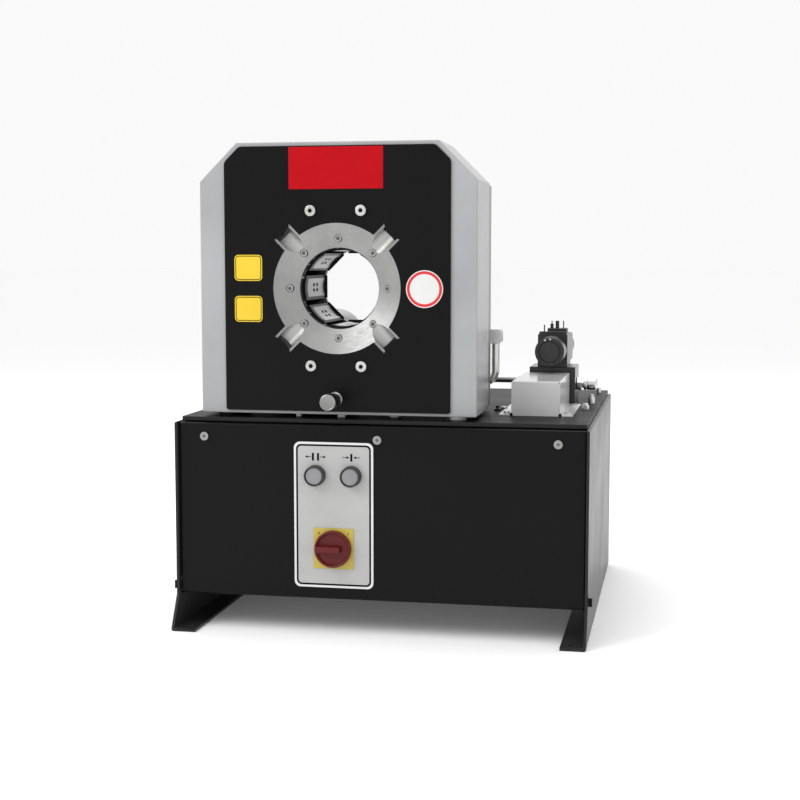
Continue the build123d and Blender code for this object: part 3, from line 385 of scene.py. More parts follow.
def cut_sheet(shape, outlines, push, ease=0.0, segments=2):
    """Fills wire outlines, the inner ones as holes, and gives the sheet its thickness."""
    made = bmesh.ops.triangle_fill(shape, use_beauty=True, use_dissolve=False, edges=outlines,
                                   normal=Vector(push).normalized())
    faces = [g for g in made["geom"] if isinstance(g, bmesh.types.BMFace)]
    points = once(v for f in faces for v in f.verts)
    inner = [e for e in once(e for f in faces for e in f.edges) if len(e.link_faces) == 2]
    bmesh.ops.dissolve_limit(shape, angle_limit=0.01, use_dissolve_boundaries=False, verts=[],
                             edges=inner, delimit=set())
    faces = once(f for v in points if v.is_valid for f in v.link_faces)
    raised = bmesh.ops.extrude_face_region(shape, geom=faces)["geom"]
    lifted = [g for g in raised if isinstance(g, bmesh.types.BMVert)]
    bmesh.ops.translate(shape, verts=lifted, vec=Vector(push) * MM)
    verts = [v for v in points if v.is_valid] + lifted
    if ease:
        verts = soften(shape, verts, ease, segments)
    return verts


lid_low, lid_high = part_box("lid_plate")
MOTOR_X, MOTOR_DEPTH, _ = middle("motor_rotor")
HOOK_X, HOOK_DEPTH = 291, 48.5              # slots for the front cover's hooks
FILLER_X, FILLER_DEPTH = 60, 470
lid = bmesh.new()
lid_cuts = round_corners(lid, loop(lid, level_corners((lid_low.x, lid_high.x),
                                                      (lid_low.y, lid_high.y), lid_low.z)), 3.0)
for side in (-1, 1):
    hook_x, hook_y = side * HOOK_X * MM, FACE + HOOK_DEPTH * MM
    lid_cuts += loop(lid, level_corners((hook_x - 4 * MM, hook_x + 4 * MM),
                                        (hook_y - 1.5 * MM, hook_y + 1.5 * MM), lid_low.z))
lid_cuts += ring_of(lid, at(MOTOR_X, MOTOR_DEPTH, lid_low.z / MM), UP, 52.3, 56)
lid_cuts += ring_of(lid, at(FILLER_X, FILLER_DEPTH, lid_low.z / MM), UP, 20.0, 32)
cut_sheet(lid, lid_cuts, (0, 0, (lid_high.z - lid_low.z) / MM), 0.7)
for face in lid.faces:
    face.material_index = int(abs(face.normal.z) < 0.3)
new_piece("lid", lid, [lid_gloss, cut_edge], "machine", ["lid_plate"])

# ---------------------------------------------------------------- control plate
# A printed aluminium plate stuck to the front cover: white rim, black line, pale grey field,
# with an opening mark over the left button and a closing mark over the right one.


def enamel(name, colour, roughness=0.28, specular=0.5):
    """Printed or stove-enamelled face, nearly even, with a faint skin."""
    finish = start_finish(name, specular=specular)
    cloud = grain(finish, 25.0, 3.0)
    lay(finish, mottled(finish, cloud, colour, 0.955, 1.03),
        between(finish, cloud, roughness * 0.9, roughness * 1.15),
        relief(finish, grain(finish, 900.0, 1.0), 0.012, rounded(finish, 0.3), 0.4))
    return finish


white_print = enamel("white_print", (0.66, 0.66, 0.65))
grey_print = enamel("pale_grey_print", (0.405, 0.405, 0.40))
black_print = enamel("black_print", (0.004, 0.004, 0.004), 0.5, 0.04)
dress(white_print, "control_plate")

plate_low, plate_high = limits("control_plate")
PLATE_FACE = plate_low.y
INK = (0, -0.05, 0)                         # printed layers stand this far off what carries them


def upright_corners(x, z, depth):
    """The corners of a rectangle that faces the front, between pairs of limits."""
    return [at(x[0], depth, z[0]), at(x[1], depth, z[0]),
            at(x[1], depth, z[1]), at(x[0], depth, z[1])]


def plate_outline(shape, inset, radius):
    corners = upright_corners((plate_low.x + inset, plate_high.x - inset),
                              (plate_low.z + inset, plate_high.z - inset), PLATE_FACE)
    return round_corners(shape, loop(shape, corners), radius, 6)


border = bmesh.new()
cut_sheet(border, plate_outline(border, 3.2, 7.2) + plate_outline(border, 5.9, 5.0), (0, -0.06, 0))
new_piece("control_plate_line", border, [black_print], "machine")
field = bmesh.new()
cut_sheet(field, plate_outline(field, 5.85, 5.0), INK)
new_piece("control_plate_field", field, [grey_print], "machine")

MARK_Z, MARK_DEPTH = 260.1, PLATE_FACE - 0.05
LEFT_BUTTON, RIGHT_BUTTON = middle("button_left_housing"), middle("button_right_housing")
marks = bmesh.new()


def bar_mark(x):
    cut_sheet(marks, loop(marks, upright_corners((x - 1.6, x + 1.6), (MARK_Z - 5.6, MARK_Z + 5.6),
                                                 MARK_DEPTH)), INK)


def arrow_mark(tail, tip):
    neck = tip - math.copysign(4.2, tip - tail)
    cut_sheet(marks, loop(marks, [at(x, MARK_DEPTH, MARK_Z + rise) for x, rise in (
        (tail, -0.5), (neck, -0.5), (neck, -2.1), (tip, 0.0),
        (neck, 2.1), (neck, 0.5), (tail, 0.5))]), INK)


for side in (-1, 1):
    bar_mark(LEFT_BUTTON.x + side * 3.85)
    arrow_mark(LEFT_BUTTON.x + side * 6.6, LEFT_BUTTON.x + side * 15.8)
    arrow_mark(RIGHT_BUTTON.x + side * 13.2, RIGHT_BUTTON.x + side * 2.9)
bar_mark(RIGHT_BUTTON.x)
new_piece("open_close_marks", marks, [black_print], "machine")

# ---------------------------------------------------------------- push buttons
# Two long-collared push buttons: a black moulded collar with a rounded lip, a grey cap that
# sinks into it on a spring, and a contact block clipped on behind the cover.
INWARD = (0, 1, 0)


def moulded(name, colour, roughness=0.38, texture=0.03, specular=0.5):
    """Moulded plastic with the faint spark-eroded texture of its mould."""
    finish = start_finish(name, specular=specular)
    pits = grain(finish, 2200.0)
    eased = rounded(finish, 0.5)
    tone = blend_colour(finish, corner_wear(finish, eased, 0.4),
                        mottled(finish, grain(finish, 40.0), colour, 0.93, 1.06),
                        shade(colour, 1.2, 0.015))
    lay(finish, tone, between(finish, pits, roughness * 0.85, roughness * 1.15),
        relief(finish, pits, texture, eased, 0.5))
    return finish


def block(shape, x, depth, z, ease=0.0, segments=2, only=None):
    """A block between pairs of limits in millimetres, its corners eased; 'only' picks an axis."""
    low, high = at(x[0], depth[0], z[0]), at(x[1], depth[1], z[1])
    size = Matrix.Diagonal((*(high - low), 1))
    verts = bmesh.ops.create_cube(shape, size=1.0,
                                  matrix=Matrix.Translation((low + high) / 2) @ size)["verts"]
    if ease and only is None:
        verts = soften(shape, verts, ease, segments)
    elif ease:
        along = [e for e in shape.edges if e.verts[0] in verts and e.verts[1] in verts
                 and abs((e.verts[0].co - e.verts[1].co).normalized()[only]) > 0.9]
        made = bmesh.ops.bevel(shape, geom=along, offset=ease * MM, offset_type="OFFSET",
                               segments=segments, profile=0.5, affect="EDGES", material=-1)
        verts = [v for v in verts if v.is_valid] + list(made["verts"])
    return verts


def turned(shape, centre, axis, outline, steps=56):
    """Lathe work: (radius, distance along the axis) pairs in millimetres spun about an axis."""
    along = Vector(axis).normalized()
    side = along.orthogonal().normalized()
    points = [shape.verts.new(centre + along * h * MM + side * r * MM) for r, h in outline]
    lines = [shape.edges.new(pair) for pair in zip(points, points[1:])]
    before = set(shape.verts) - set(points)
    bmesh.ops.spin(shape, geom=points + lines, cent=centre, axis=along, dvec=(0, 0, 0),
                   angle=math.radians(360), steps=steps, use_merge=True, use_duplicate=False)
    made = [v for v in shape.verts if v not in before]
    bmesh.ops.remove_doubles(shape, verts=made, dist=2e-6)
    made = [v for v in made if v.is_valid]
    bmesh.ops.recalc_face_normals(shape, faces=once(f for v in made for f in v.link_faces))
    return made


def stub(shape, centre, axis, foot, shoulder, tip, steps=20):
    """A short turned stub: its radius, and where it starts, narrows to its tip, and ends."""
    radius, start = foot
    return turned(shape, centre, axis,
                  [(0, start), foot, (radius, shoulder), tip, (0, tip[1])], steps)


black_plastic = moulded("black_moulding", (0.018, 0.018, 0.019))
cap_grey = moulded("cap_grey_moulding", (0.225, 0.225, 0.23), 0.42)
BUTTON_Z = LEFT_BUTTON.z
lip = limits("button_left_housing")[0].y    # depth of the collar's front edge
back = 58.0                                 # depth of the contact block's rear
for side, button in (("left", LEFT_BUTTON), ("right", RIGHT_BUTTON)):
    place = at(button.x, 0, BUTTON_Z)
    collar = bmesh.new()
    turned(collar, place, INWARD,
           [(12.95, PLATE_FACE - 0.4), (12.95, lip + 0.7), (13.2, lip + 0.2), (13.6, lip),
            (14.1, lip + 0.15), (14.6, lip + 0.7), (14.8, lip + 1.8), (15.0, PLATE_FACE - 2.2),
            (15.3, PLATE_FACE - 1.6), (15.3, PLATE_FACE - 0.05), (12.95, PLATE_FACE - 0.05),
            (12.95, PLATE_FACE - 0.4)], 72)
    turned(collar, place, INWARD,
           [(0, 18), (5.3, 18), (5.3, -1), (10.9, -1), (10.9, 2.9), (14, 2.9), (14, 8), (11, 8),
            (11, 18), (0, 18)], 48)
    block(collar, (button.x - 15, button.x + 15), (18.05, back),
          (BUTTON_Z - 20, BUTTON_Z + 20), 1.2)
    for rise in (-12, 12):
        for aside in (-8, 8):
            stub(collar, at(button.x + aside, back, BUTTON_Z + rise), INWARD, (3, 0), 0, (2.6, 1.2))
    new_piece("button_" + side + "_collar", collar, [black_plastic], "machine",
              ["button_" + side + "_housing"])
    dome = limits("button_" + side + "_cap")[0].y
    cap = bmesh.new()
    turned(cap, place, INWARD,
           [(0, dome + 0.05), (7.0, dome + 0.05), (10.8, dome + 0.16), (11.8, dome + 0.35),
            (12.4, dome + 0.8), (12.7, dome + 1.5), (12.7, dome + 5.5), (5.0, dome + 5.5),
            (5.0, 24), (0, 24)], 64)
    new_piece("button_" + side + "_cap_grey", cap, [cap_grey], "button_" + side,
              ["button_" + side + "_cap"])

# ---------------------------------------------------------------- main switch
# A red rotary main switch on a square yellow plate. The knob is a deep dish crossed by a
# raised grip; its shaft passes through the cover into a black switch body.
yellow_print = enamel("yellow_plate_print", (0.47, 0.37, 0.055), 0.34)
red_plastic = moulded("red_moulding", (0.108, 0.009, 0.009), 0.34, 0.02, 0.25)
switch_low, switch_high = limits("switch_plate")
SX, _, SZ = middle("switch_plate")
switch_face = switch_low.y
switch_back = PLATE_FACE - 0.06
square = bmesh.new()
outline = round_corners(square, loop(square, upright_corners(
    (switch_low.x, switch_high.x), (switch_low.z, switch_high.z), switch_back)), 2.0)
outline += ring_of(square, at(SX, switch_back, SZ), INWARD, 7.0, 32)
cut_sheet(square, outline, (0, switch_face - switch_back, 0), 0.35)
new_piece("switch_yellow_plate", square, [yellow_print], "machine", ["switch_plate"])


def band(shape, centre, axis, inner, outer, start, end, steps):
    """A turned ring of square section."""
    return turned(shape, centre, axis, [(inner, start), (inner, end), (outer, end), (outer, start),
                                        (inner, start)], steps)


digits = bmesh.new()
band(digits, at(SX - 21.5, switch_face, SZ + 22.5), INWARD, 1.1, 1.75, 0.02, -0.06, 24)
block(digits, (SX + 21.6, SX + 22.4), (switch_face - 0.06, switch_face + 0.02),
      (SZ + 20.4, SZ + 24.6))
new_piece("switch_position_marks", digits, [black_print], "machine")

knob = bmesh.new()
base = switch_face - 0.4
turned(knob, at(SX, 0, SZ), INWARD,
       [(0, base), (26.3, base), (27.1, base - 0.8), (27.1, base - 6.6), (26.7, base - 7.9),
        (26.0, base - 8.7), (25.0, base - 9.0), (24.0, base - 8.7), (23.3, base - 8.0),
        (23.0, base - 6.6), (22.4, base - 5.5), (21.3, base - 5.0), (0, base - 5.0)], 96)
grip = block(knob, (SX - 25.2, SX + 12.5), (base - 16.0, base - 4.0), (SZ - 4.6, SZ + 4.6))
for v in soften(knob, grip, 2.2, 4):
    if v.co.y > FACE + (base - 9.0) * MM:
        v.co.z = SZ * MM + (v.co.z - SZ * MM) * 1.18
turned(knob, at(SX, 0, SZ), INWARD, [(0, base), (6.0, base), (6.0, 26), (0, 26)], 32)
new_piece("switch_red_knob", knob, [red_plastic], "switch_knob", ["switch_knob"])
dress(black_plastic, "switch_body")

# ---------------------------------------------------------------- contactor
# Motor contactor, overload relay and terminals, moulded in grey, snap on a steel rail inside
# the cabinet.
dress(moulded("relay_moulding", (0.10, 0.105, 0.11), 0.45), "contactor_unit")

# ---------------------------------------------------------------- crimping head
# A deep welded and machined steel frame stands on four short feet on the lid, sprayed light
# grey with an even satin gloss. A bolted rear housing in darker grey closes its back.
head_grey = powder_coat("head_light_grey", (0.36, 0.364, 0.37), 0.20, 0.06,
                        peel=0.03, rub=0.12, corner=1.2)
rear_grey = powder_coat("head_dark_grey", (0.15, 0.154, 0.158), 0.30, 0.5,
                        peel=0.05, rub=0.15, corner=1.2)
dress(head_grey, "head_frame")
dress(rear_grey, "head_rear_housing")
dress(zinc_plate, "rear_screws")


def reckon(finish, operation, *values):
    made = wire(finish, "ShaderNodeMath", dict(enumerate(values)), operation=operation)
    return made.outputs[0]


def parts_of(finish, vector):
    """A vector's three numbers, by the names X, Y and Z."""
    return wire(finish, "ShaderNodeSeparateXYZ", {0: vector}).outputs


def overlay(finish, mask, colour):
    """Where the mask is 1, the finish takes this colour instead of its own."""
    base_colour = finish.node_tree.nodes["Principled BSDF"].inputs["Base Color"]
    own = base_colour.links[0].from_socket
    finish.node_tree.links.new(blend_colour(finish, mask, own, colour), base_colour)


foot_zinc_with_painted_shade = plated_steel("foot_zinc_with_painted_shade", (0.52, 0.52, 0.51), 0.36)
# the two feet at the left are coloured near-black: painted shade of the dark gap under the head's
# left end
overlay(foot_zinc_with_painted_shade, reckon(foot_zinc_with_painted_shade, "LESS_THAN", parts_of(foot_zinc_with_painted_shade, spot(foot_zinc_with_painted_shade))["X"],
                          -200 * MM), (0.015, 0.015, 0.015))
dress(foot_zinc_with_painted_shade, "head_feet")

# ---------------------------------------------------------------- pistons, yokes and dies
# Two hydraulic pistons drive an upper and a lower yoke together. Their inner faces press eight
# dies inwards; each die is black-oxidised steel with a ground hollow seat and four pin holes.
BX, _, BZ = middle("guide_disc")            # the bore's axis


def from_bore(finish):
    """The way from the bore's axis, at the cover's face, to the point that is being coloured."""
    return vector_sum(finish, "SUBTRACT", spot(finish), at(BX, 0, BZ))


def steel(name, colour, roughness, pattern, corner=0.35, metallic=1.0, specular=0.5, depth=0.006):
    """Cut steel: 'turned' leaves rings about the bore, 'ground' leaves fine lines across."""
    finish = start_finish(name, metallic=metallic, specular=specular)
    if pattern == "turned":
        flat = vector_sum(finish, "MULTIPLY", from_bore(finish), (1, 0, 1))
        around = vector_sum(finish, "MULTIPLY", vector_sum(finish, "NORMALIZE", flat),
                            (0.004, 0.004, 0.004))
        out = wire(finish, "ShaderNodeCombineXYZ", {"Y": vector_sum(finish, "LENGTH", flat)})
        lines = grain(finish, 1900.0, where=vector_sum(finish, "ADD", around, out.outputs[0]))
    else:
        drawn = wire(finish, "ShaderNodeMapping", {"Vector": spot(finish),
                                                   "Scale": (18.0, 1.0, 18.0)})
        lines = grain(finish, 90.0, 3.0, where=drawn.outputs[0])
    eased = rounded(finish, corner)
    tone = mottled(finish, grain(finish, 28.0, 3.0), colour, 0.90, 1.06)
    tone = blend_colour(finish, between(finish, lines, 0.0, 0.30), tone, shade(colour, 0.72))
    tone = blend_colour(finish, corner_wear(finish, eased, 0.5), tone, shade(colour, 1.25, 0.08))
    lay(finish, tone, between(finish, lines, roughness * 0.85, roughness * 1.2),
        relief(finish, lines, depth, eased, 0.6))
    return finish


ground_steel = steel("ground_steel", (0.50, 0.50, 0.49), 0.28, "ground")
dress(ground_steel, "piston_upper", "piston_lower", "yoke_upper", "yoke_lower")

die_steel = steel("die_steel", (0.011, 0.011, 0.0115), 0.30, "ground", metallic=0.0, specular=0.12)
SEAT_RADIUS, SEAT_SHIFT = 50.0 * MM, 6.1 * MM       # the hollow, and its axis off the bore's
SEAT_HALF = 13.45 * MM                              # half the ground seat's width
SEAT_MIDDLE, SEAT_REACH = 126.7 * MM, 50.7 * MM     # its depth, and half its length
PIN_HOLE, PIN_MIDDLE = 2.75 * MM, 122.5 * MM        # a pin hole's radius, and the four's depth
PIN_APART, PIN_ASIDE = 9.5 * MM, 4.0 * MM           # half their spacing, along and across


def die_sum(operation, *values):
    return reckon(die_steel, operation, *values)


def die_length(first, second):
    return die_sum("SQRT", die_sum("ADD", die_sum("POWER", first, 2.0),
                                   die_sum("POWER", second, 2.0)))


def die_off(value, middle_value):
    return die_sum("ABSOLUTE", die_sum("SUBTRACT", value, middle_value))


off = parts_of(die_steel, from_bore(die_steel))
turn = die_sum("WRAP", die_sum("ARCTAN2", off["Z"], off["X"]),
               math.radians(22.5), math.radians(-22.5))
far = die_length(off["X"], off["Z"])
across = die_sum("MULTIPLY", far, die_sum("SINE", turn))
outward = die_sum("SUBTRACT", die_sum("MULTIPLY", far, die_sum("COSINE", turn)), SEAT_SHIFT)
pin_along = die_sum("SUBTRACT", die_off(off["Y"], PIN_MIDDLE), PIN_APART)
pin_across = die_sum("SUBTRACT", die_sum("ABSOLUTE", across), PIN_ASIDE)
pin_far = die_length(die_sum("MULTIPLY", pin_along, 0.42), pin_across)
in_seat = die_sum("COMPARE", die_length(across, outward), SEAT_RADIUS, 0.25 * MM)
for limit in (die_sum("LESS_THAN", die_sum("ABSOLUTE", across), SEAT_HALF),
              die_sum("COMPARE", off["Y"], SEAT_MIDDLE, SEAT_REACH),
              die_sum("GREATER_THAN", pin_far, PIN_HOLE)):
    in_seat = die_sum("MULTIPLY", in_seat, limit)
overlay(die_steel, in_seat, (0.38, 0.38, 0.375))
die_shader = die_steel.node_tree.nodes["Principled BSDF"]
die_steel.node_tree.links.new(die_sum("ADD", 0.38, die_sum("MULTIPLY", in_seat, 0.02)),
                              die_shader.inputs["Roughness"])
die_steel.node_tree.links.new(in_seat, die_shader.inputs["Metallic"])
dress(die_steel, *("die_" + str(number) for number in range(1, 9)))

# ---------------------------------------------------------------- funnel ring and guide disc
# The dies' front keys run in a black guide disc. In front of it sits a turned steel ring whose
# funnel leads the hose in, with four grooved ears and eight sunk cap screws.
turned_steel = steel("turned_steel", (0.355, 0.355, 0.35), 0.48, "turned", depth=0.010)
ring_off = from_bore(turned_steel)
ring_far = vector_sum(turned_steel, "LENGTH",
                      vector_sum(turned_steel, "MULTIPLY", ring_off, (1, 0, 1)))
ring_depth = parts_of(turned_steel, ring_off)["Y"]
# the ears' grooves are milled after turning, so they lie below the cone; there the steel's colour
# is made lighter, a painted sheen
milled_groove_sheen = reckon(turned_steel, "MULTIPLY_ADD", ring_far, 0.507, ring_depth)
milled_groove_sheen = reckon(turned_steel, "GREATER_THAN", milled_groove_sheen, 75.7 * MM)
for value, limit in ((ring_far, 79.5 * MM), (ring_depth, 27.3 * MM)):
    milled_groove_sheen = reckon(turned_steel, "MULTIPLY", milled_groove_sheen,
                    reckon(turned_steel, "GREATER_THAN", value, limit))
overlay(turned_steel, milled_groove_sheen, (0.41, 0.41, 0.40))
black_oxide = steel("black_oxide", (0.022, 0.022, 0.023), 0.34, "turned", metallic=0.5)
black_rough = powder_coat("black_rough", (0.006, 0.006, 0.006), 0.6, 0.1, peel=0.02, rub=0.1)
dress(turned_steel, "funnel_ring")
dress(black_oxide, "guide_disc")
spigot = bmesh.new()
turned(spigot, at(BX, 0, BZ), INWARD,
       [(59.15, 61.8), (59.15, 45.4), (59.45, 45.1), (59.5, 61.8), (59.15, 61.8)], 96)
new_piece("guide_disc_spigot", spigot, [black_rough], "machine")
keyways = bmesh.new()
for turn, width in ((164.6, 3.6), (144.1, 1.7), (132.3, 1.3), (217.9, 1.5), (245.0, 1.5),
                    (200.4, 0.5), (95.0, 1.7), (50.0, 1.7), (15.0, 1.7), (310.0, 1.7)):
    edge = block(keyways, (BX + 58.9, BX + 59.2), (45.6, 61.7), (BZ - width / 2, BZ + width / 2))
    bmesh.ops.rotate(keyways, verts=edge, cent=at(BX, 0, BZ),
                     matrix=Matrix.Rotation(math.radians(-turn), 3, "Y"))
new_piece("guide_disc_keyway_edges", keyways, [turned_steel], "machine")


def tint(verts, index):
    """These points' faces take the piece's finish of that number."""
    for face in once(f for v in verts if v.is_valid for f in v.link_faces):
        face.material_index = index


def socket_fill(shape, x, z, floor, mouth, flats):
    """Painted shade: a dark filling at the bottom of a hexagon socket."""
    stub(shape, at(x, 0, z), INWARD, (flats * 0.535, floor), mouth + 0.3, (flats * 0.4, mouth), 24)


screw_zinc = plated_steel("screw_zinc", (0.36, 0.36, 0.35), 0.34, corner=0.3)
dress(screw_zinc, "ring_screws")
bright_zinc = plated_steel("bright_zinc", (0.60, 0.60, 0.585), 0.30, corner=0.3)
dress(bright_zinc, "panel_screws")
dull_zinc = plated_steel("dull_zinc", (0.31, 0.31, 0.30), 0.36, corner=0.6)
dress(dull_zinc, "cabinet_screws")
# the screws' sockets and the gaps round the ring screws' heads are filled with dark colours:
# painted shade
socket_shade_grey = powder_coat("socket_shade_grey", (0.12, 0.12, 0.12), 0.4, 0.4, peel=0.02, rub=0.1)
sockets = bmesh.new()
for number in range(8):
    turn = math.radians(45 * number)
    place = at(BX + 72.8 * math.cos(turn), 0, BZ + 72.8 * math.sin(turn))
    # a dark band in the counterbore round each ring screw's head and a grey filling in its socket:
    # painted shade
    band(sockets, place, INWARD, 5.0, 5.6, 42.0, 39.2, 32)
    tint(stub(sockets, place, INWARD, (2.7, 40.0), 38.6, (2.0, 38.3), 24), 1)
for x in (-37.4, 37.4):                     # the front panel's screws
    for z in (-112.5, 112.5):
        socket_fill(sockets, BX + x, BZ + z, 22.5, 20.6, 6.0)
for x in (-260, 0, 260):                    # the front cover's screws
    # grey fillings in the front cover screws' sockets: painted shade
    tint(stub(sockets, at(x, 0, 286.5), INWARD, (2.15, -1.5), -2.6, (1.6, -2.9), 24), 1)
for x, z in ((-166, -150), (0, -150), (166, -150), (-166, 0), (166, 0),
             (-166, 130), (166, 130), (-70, 182), (70, 182)):       # the rear housing's screws
    socket_fill(sockets, BX + x, BZ + z, 184.0, 187.4, 8.0)
new_piece("screw_socket_shades", sockets, [black_rough, socket_shade_grey], "machine")

# ---------------------------------------------------------------- front panel
# A 3 mm steel front panel, laser-cut round the funnel and its four ears and sprayed black,
# is held by four button-head screws.
panel_low, panel_high = limits("front_panel")
PANEL_FRONT, PANEL_BACK = panel_low.y, panel_high.y


def arc(shape, start, centre, degrees, steps):
    """A wire arc from a start point, seen from the front; positive degrees run clockwise."""
    first = shape.verts.new(start)
    bmesh.ops.spin(shape, geom=[first], cent=centre, axis=INWARD, dvec=(0, 0, 0),
                   angle=math.radians(degrees), steps=steps, use_merge=False, use_duplicate=False)


left, right, bottom, top = panel_low.x, panel_high.x, panel_low.z, panel_high.z
CHAMFER = 22.5
panel = bmesh.new()
panel_rim = round_corners(panel, loop(panel, [at(x, PANEL_BACK, z) for x, z in (
    (left, bottom), (right, bottom), (right, top - CHAMFER), (right - CHAMFER, top),
    (left + CHAMFER, top), (left, top - CHAMFER))]), 4.0, 4)
rim_points = {v for e in panel_rim for v in e.verts}
# one quarter of the cut-out, an ear's straight sides and rounded end and the arc to the next ear
ear, tip, reach, hollow = 16.2, 25.7, 136.7, 95.0
neck = math.sqrt(hollow ** 2 - ear ** 2)
shoulder = reach - math.sqrt(tip ** 2 - ear ** 2)
star_centre = at(BX, PANEL_BACK, BZ)
for side in (ear, -ear):
    panel.edges.new((panel.verts.new(at(BX + neck, PANEL_BACK, BZ + side)),
                     panel.verts.new(at(BX + shoulder, PANEL_BACK, BZ + side))))
arc(panel, at(BX + shoulder, PANEL_BACK, BZ + ear), at(BX + reach, PANEL_BACK, BZ),
    -2 * math.degrees(math.asin(ear / tip)), 14)
arc(panel, at(BX + neck, PANEL_BACK, BZ - ear), star_centre,
    90 - 2 * math.degrees(math.asin(ear / hollow)), 22)
star = [v for v in panel.verts if v not in rim_points]
star_lines = once(e for v in star for e in v.link_edges)
bmesh.ops.rotate(panel, verts=star, cent=star_centre,
                 matrix=Matrix.Rotation(math.radians(45), 3, "Y"))
bmesh.ops.spin(panel, geom=star + star_lines, cent=star_centre, axis=INWARD, dvec=(0, 0, 0),
               angle=math.radians(270), steps=3, use_merge=False, use_duplicate=True)
star = [v for v in panel.verts if v not in rim_points]
bmesh.ops.remove_doubles(panel, verts=star, dist=1e-5)
cut_sheet(panel, panel.edges[:], (0, PANEL_FRONT - PANEL_BACK, 0), 0.5)
new_piece("front_panel_black", panel, [cover_powder], "machine", ["front_panel"])

# ---------------------------------------------------------------- rest peg
# A turned and plated peg screwed into the head below the funnel, waisted like a bobbin, on
# which the hose end is rested.
PEG_X, _, PEG_Z = middle("rest_peg")
front = limits("rest_peg")[0].y
peg = bmesh.new()
turned(peg, at(PEG_X, 0, PEG_Z), INWARD,
       [(0, front + 0.6), (9.2, front + 0.6), (9.9, front + 0.2), (10.7, front),
        (11.5, front + 0.4), (12.0, front + 1.4), (12.0, front + 15.6), (11.5, front + 17.0),
        (10.6, front + 17.8), (9.0, front + 18.4), (8.2, front + 20), (8.0, front + 22),
        (8.0, 8.5), (8.3, 10.5), (9.3, 12.2), (10.6, 13.1), (11.4, 14.2), (11.5, 15.2),
        (11.5, 23.9), (6.0, 23.9), (6.0, 45), (0, 45)], 72)
peg_steel = steel("peg_steel", (0.28, 0.28, 0.275), 0.27, "ground", depth=0.004)
new_piece("rest_peg_turned", peg, [peg_steel], "machine", ["rest_peg"])

# ---------------------------------------------------------------- badge, tags and disc
# Bare enamelled plates stuck to the panel: a red badge plate at the top, two rounded yellow
# tags at the left and a white disc with a red rim at the right.
red_enamel = enamel("badge_red_enamel", (0.42, 0.003, 0.008), 0.30, 0.08)
yellow_enamel = enamel("tag_yellow_enamel", (0.72, 0.50, 0.02), 0.30)
badge_low, badge_high = limits("badge_plate")
badge = bmesh.new()
block(badge, (badge_low.x, badge_high.x), (badge_low.y, PANEL_FRONT), (badge_low.z, badge_high.z),
      1.2, 4, only=1)
soften(badge, badge.verts[:], 0.3, 2, 60)
new_piece("badge_bare", badge, [red_enamel], "machine", ["badge_plate"])

TAG_X, TAG_WIDE, TAG_HIGH = -198, 42, 38
TAG_FRONT = PANEL_FRONT - 0.6
tags, tag_rims = bmesh.new(), bmesh.new()
for tag_z in (533.0, 473.0):
    block(tags, (TAG_X - TAG_WIDE / 2, TAG_X + TAG_WIDE / 2), (TAG_FRONT, PANEL_FRONT),
          (tag_z - TAG_HIGH / 2, tag_z + TAG_HIGH / 2), 6.0, 6, only=1)
    lines = []
    for inset, radius in ((1.4, 4.8), (2.5, 3.9)):
        aside, rise = TAG_WIDE / 2 - inset, TAG_HIGH / 2 - inset
        lines += round_corners(tag_rims, loop(tag_rims, upright_corners(
            (TAG_X - aside, TAG_X + aside), (tag_z - rise, tag_z + rise), TAG_FRONT)), radius)
    cut_sheet(tag_rims, lines, (0, -0.06, 0))
new_piece("tags_yellow", tags, [yellow_enamel], "machine", ["tag_plates"])
new_piece("tag_rim_lines", tag_rims, [black_print], "machine")

red_print = enamel("red_rim_print", (0.62, 0.02, 0.025), 0.3)
DISC_PLACE, DISC_FRONT = at(64.2, 0, 503.0), PANEL_FRONT - 0.6
disc = bmesh.new()
turned(disc, DISC_PLACE, INWARD,
       [(0, PANEL_FRONT), (27.0, PANEL_FRONT), (27.0, DISC_FRONT), (0, DISC_FRONT)], 72)
tint(band(disc, DISC_PLACE, INWARD, 21.6, 25.6, DISC_FRONT + 0.02, DISC_FRONT - 0.06, 72), 1)
new_piece("disc_white", disc, [white_print, red_print], "machine", ["tag_disc"])

# ---------------------------------------------------------------- motor
# A flanged electric motor stands upright on the lid behind the head and drives the pump below.
# Ribbed aluminium body, pressed-steel fan cowl with a round crown, terminal box at the back.
motor_grey = powder_coat("motor_grey", (0.33, 0.338, 0.342), 0.36, 0.4, peel=0.10, rub=0.2)
dress(motor_grey, "motor_housing")
motor_trim = bmesh.new()
box_back = MOTOR_DEPTH + 108.0
box_low, box_high = 332.8, 398.4
block(motor_trim, (MOTOR_X - 35.8, MOTOR_X + 35.8), (box_back + 0.9, box_back + 4.6),
      (box_low, box_high), 5.5, 4, only=1)
soften(motor_trim, motor_trim.verts[:], 0.9, 2, 60)
tint(block(motor_trim, (MOTOR_X - 34.0, MOTOR_X + 34.0), (box_back - 0.1, box_back + 1.0),
           (box_low + 1.8, box_high - 1.8)), 1)
for aside in (-28.5, 28.5):                 # the terminal box's lid screws
    for z in (340.5, 390.5):
        tint(turned(motor_trim, at(MOTOR_X + aside, box_back + 4.6, z), INWARD,
                    [(0, -0.5), (3.2, -0.5), (3.2, 0.9), (2.6, 1.6), (1.2, 1.7), (1.1, 0.6),
                     (0, 0.6)], 20), 2)
gland = at(MOTOR_X + 35, MOTOR_DEPTH + 90, 352)
tint(turned(motor_trim, gland, ACROSS,
            [(0, -0.3), (9.0, -0.3), (10.4, 0.4), (10.4, 5.2), (9.0, 6.0), (8.0, 6.0), (8.0, 7.0),
             (0, 7.0)], 6), 1)
tint(turned(motor_trim, gland, ACROSS,
            [(0, 6.9), (8.2, 6.9), (8.2, 14.0), (6.6, 16.0), (5.2, 16.0), (4.6, 14.6), (0, 14.6)],
            32), 1)
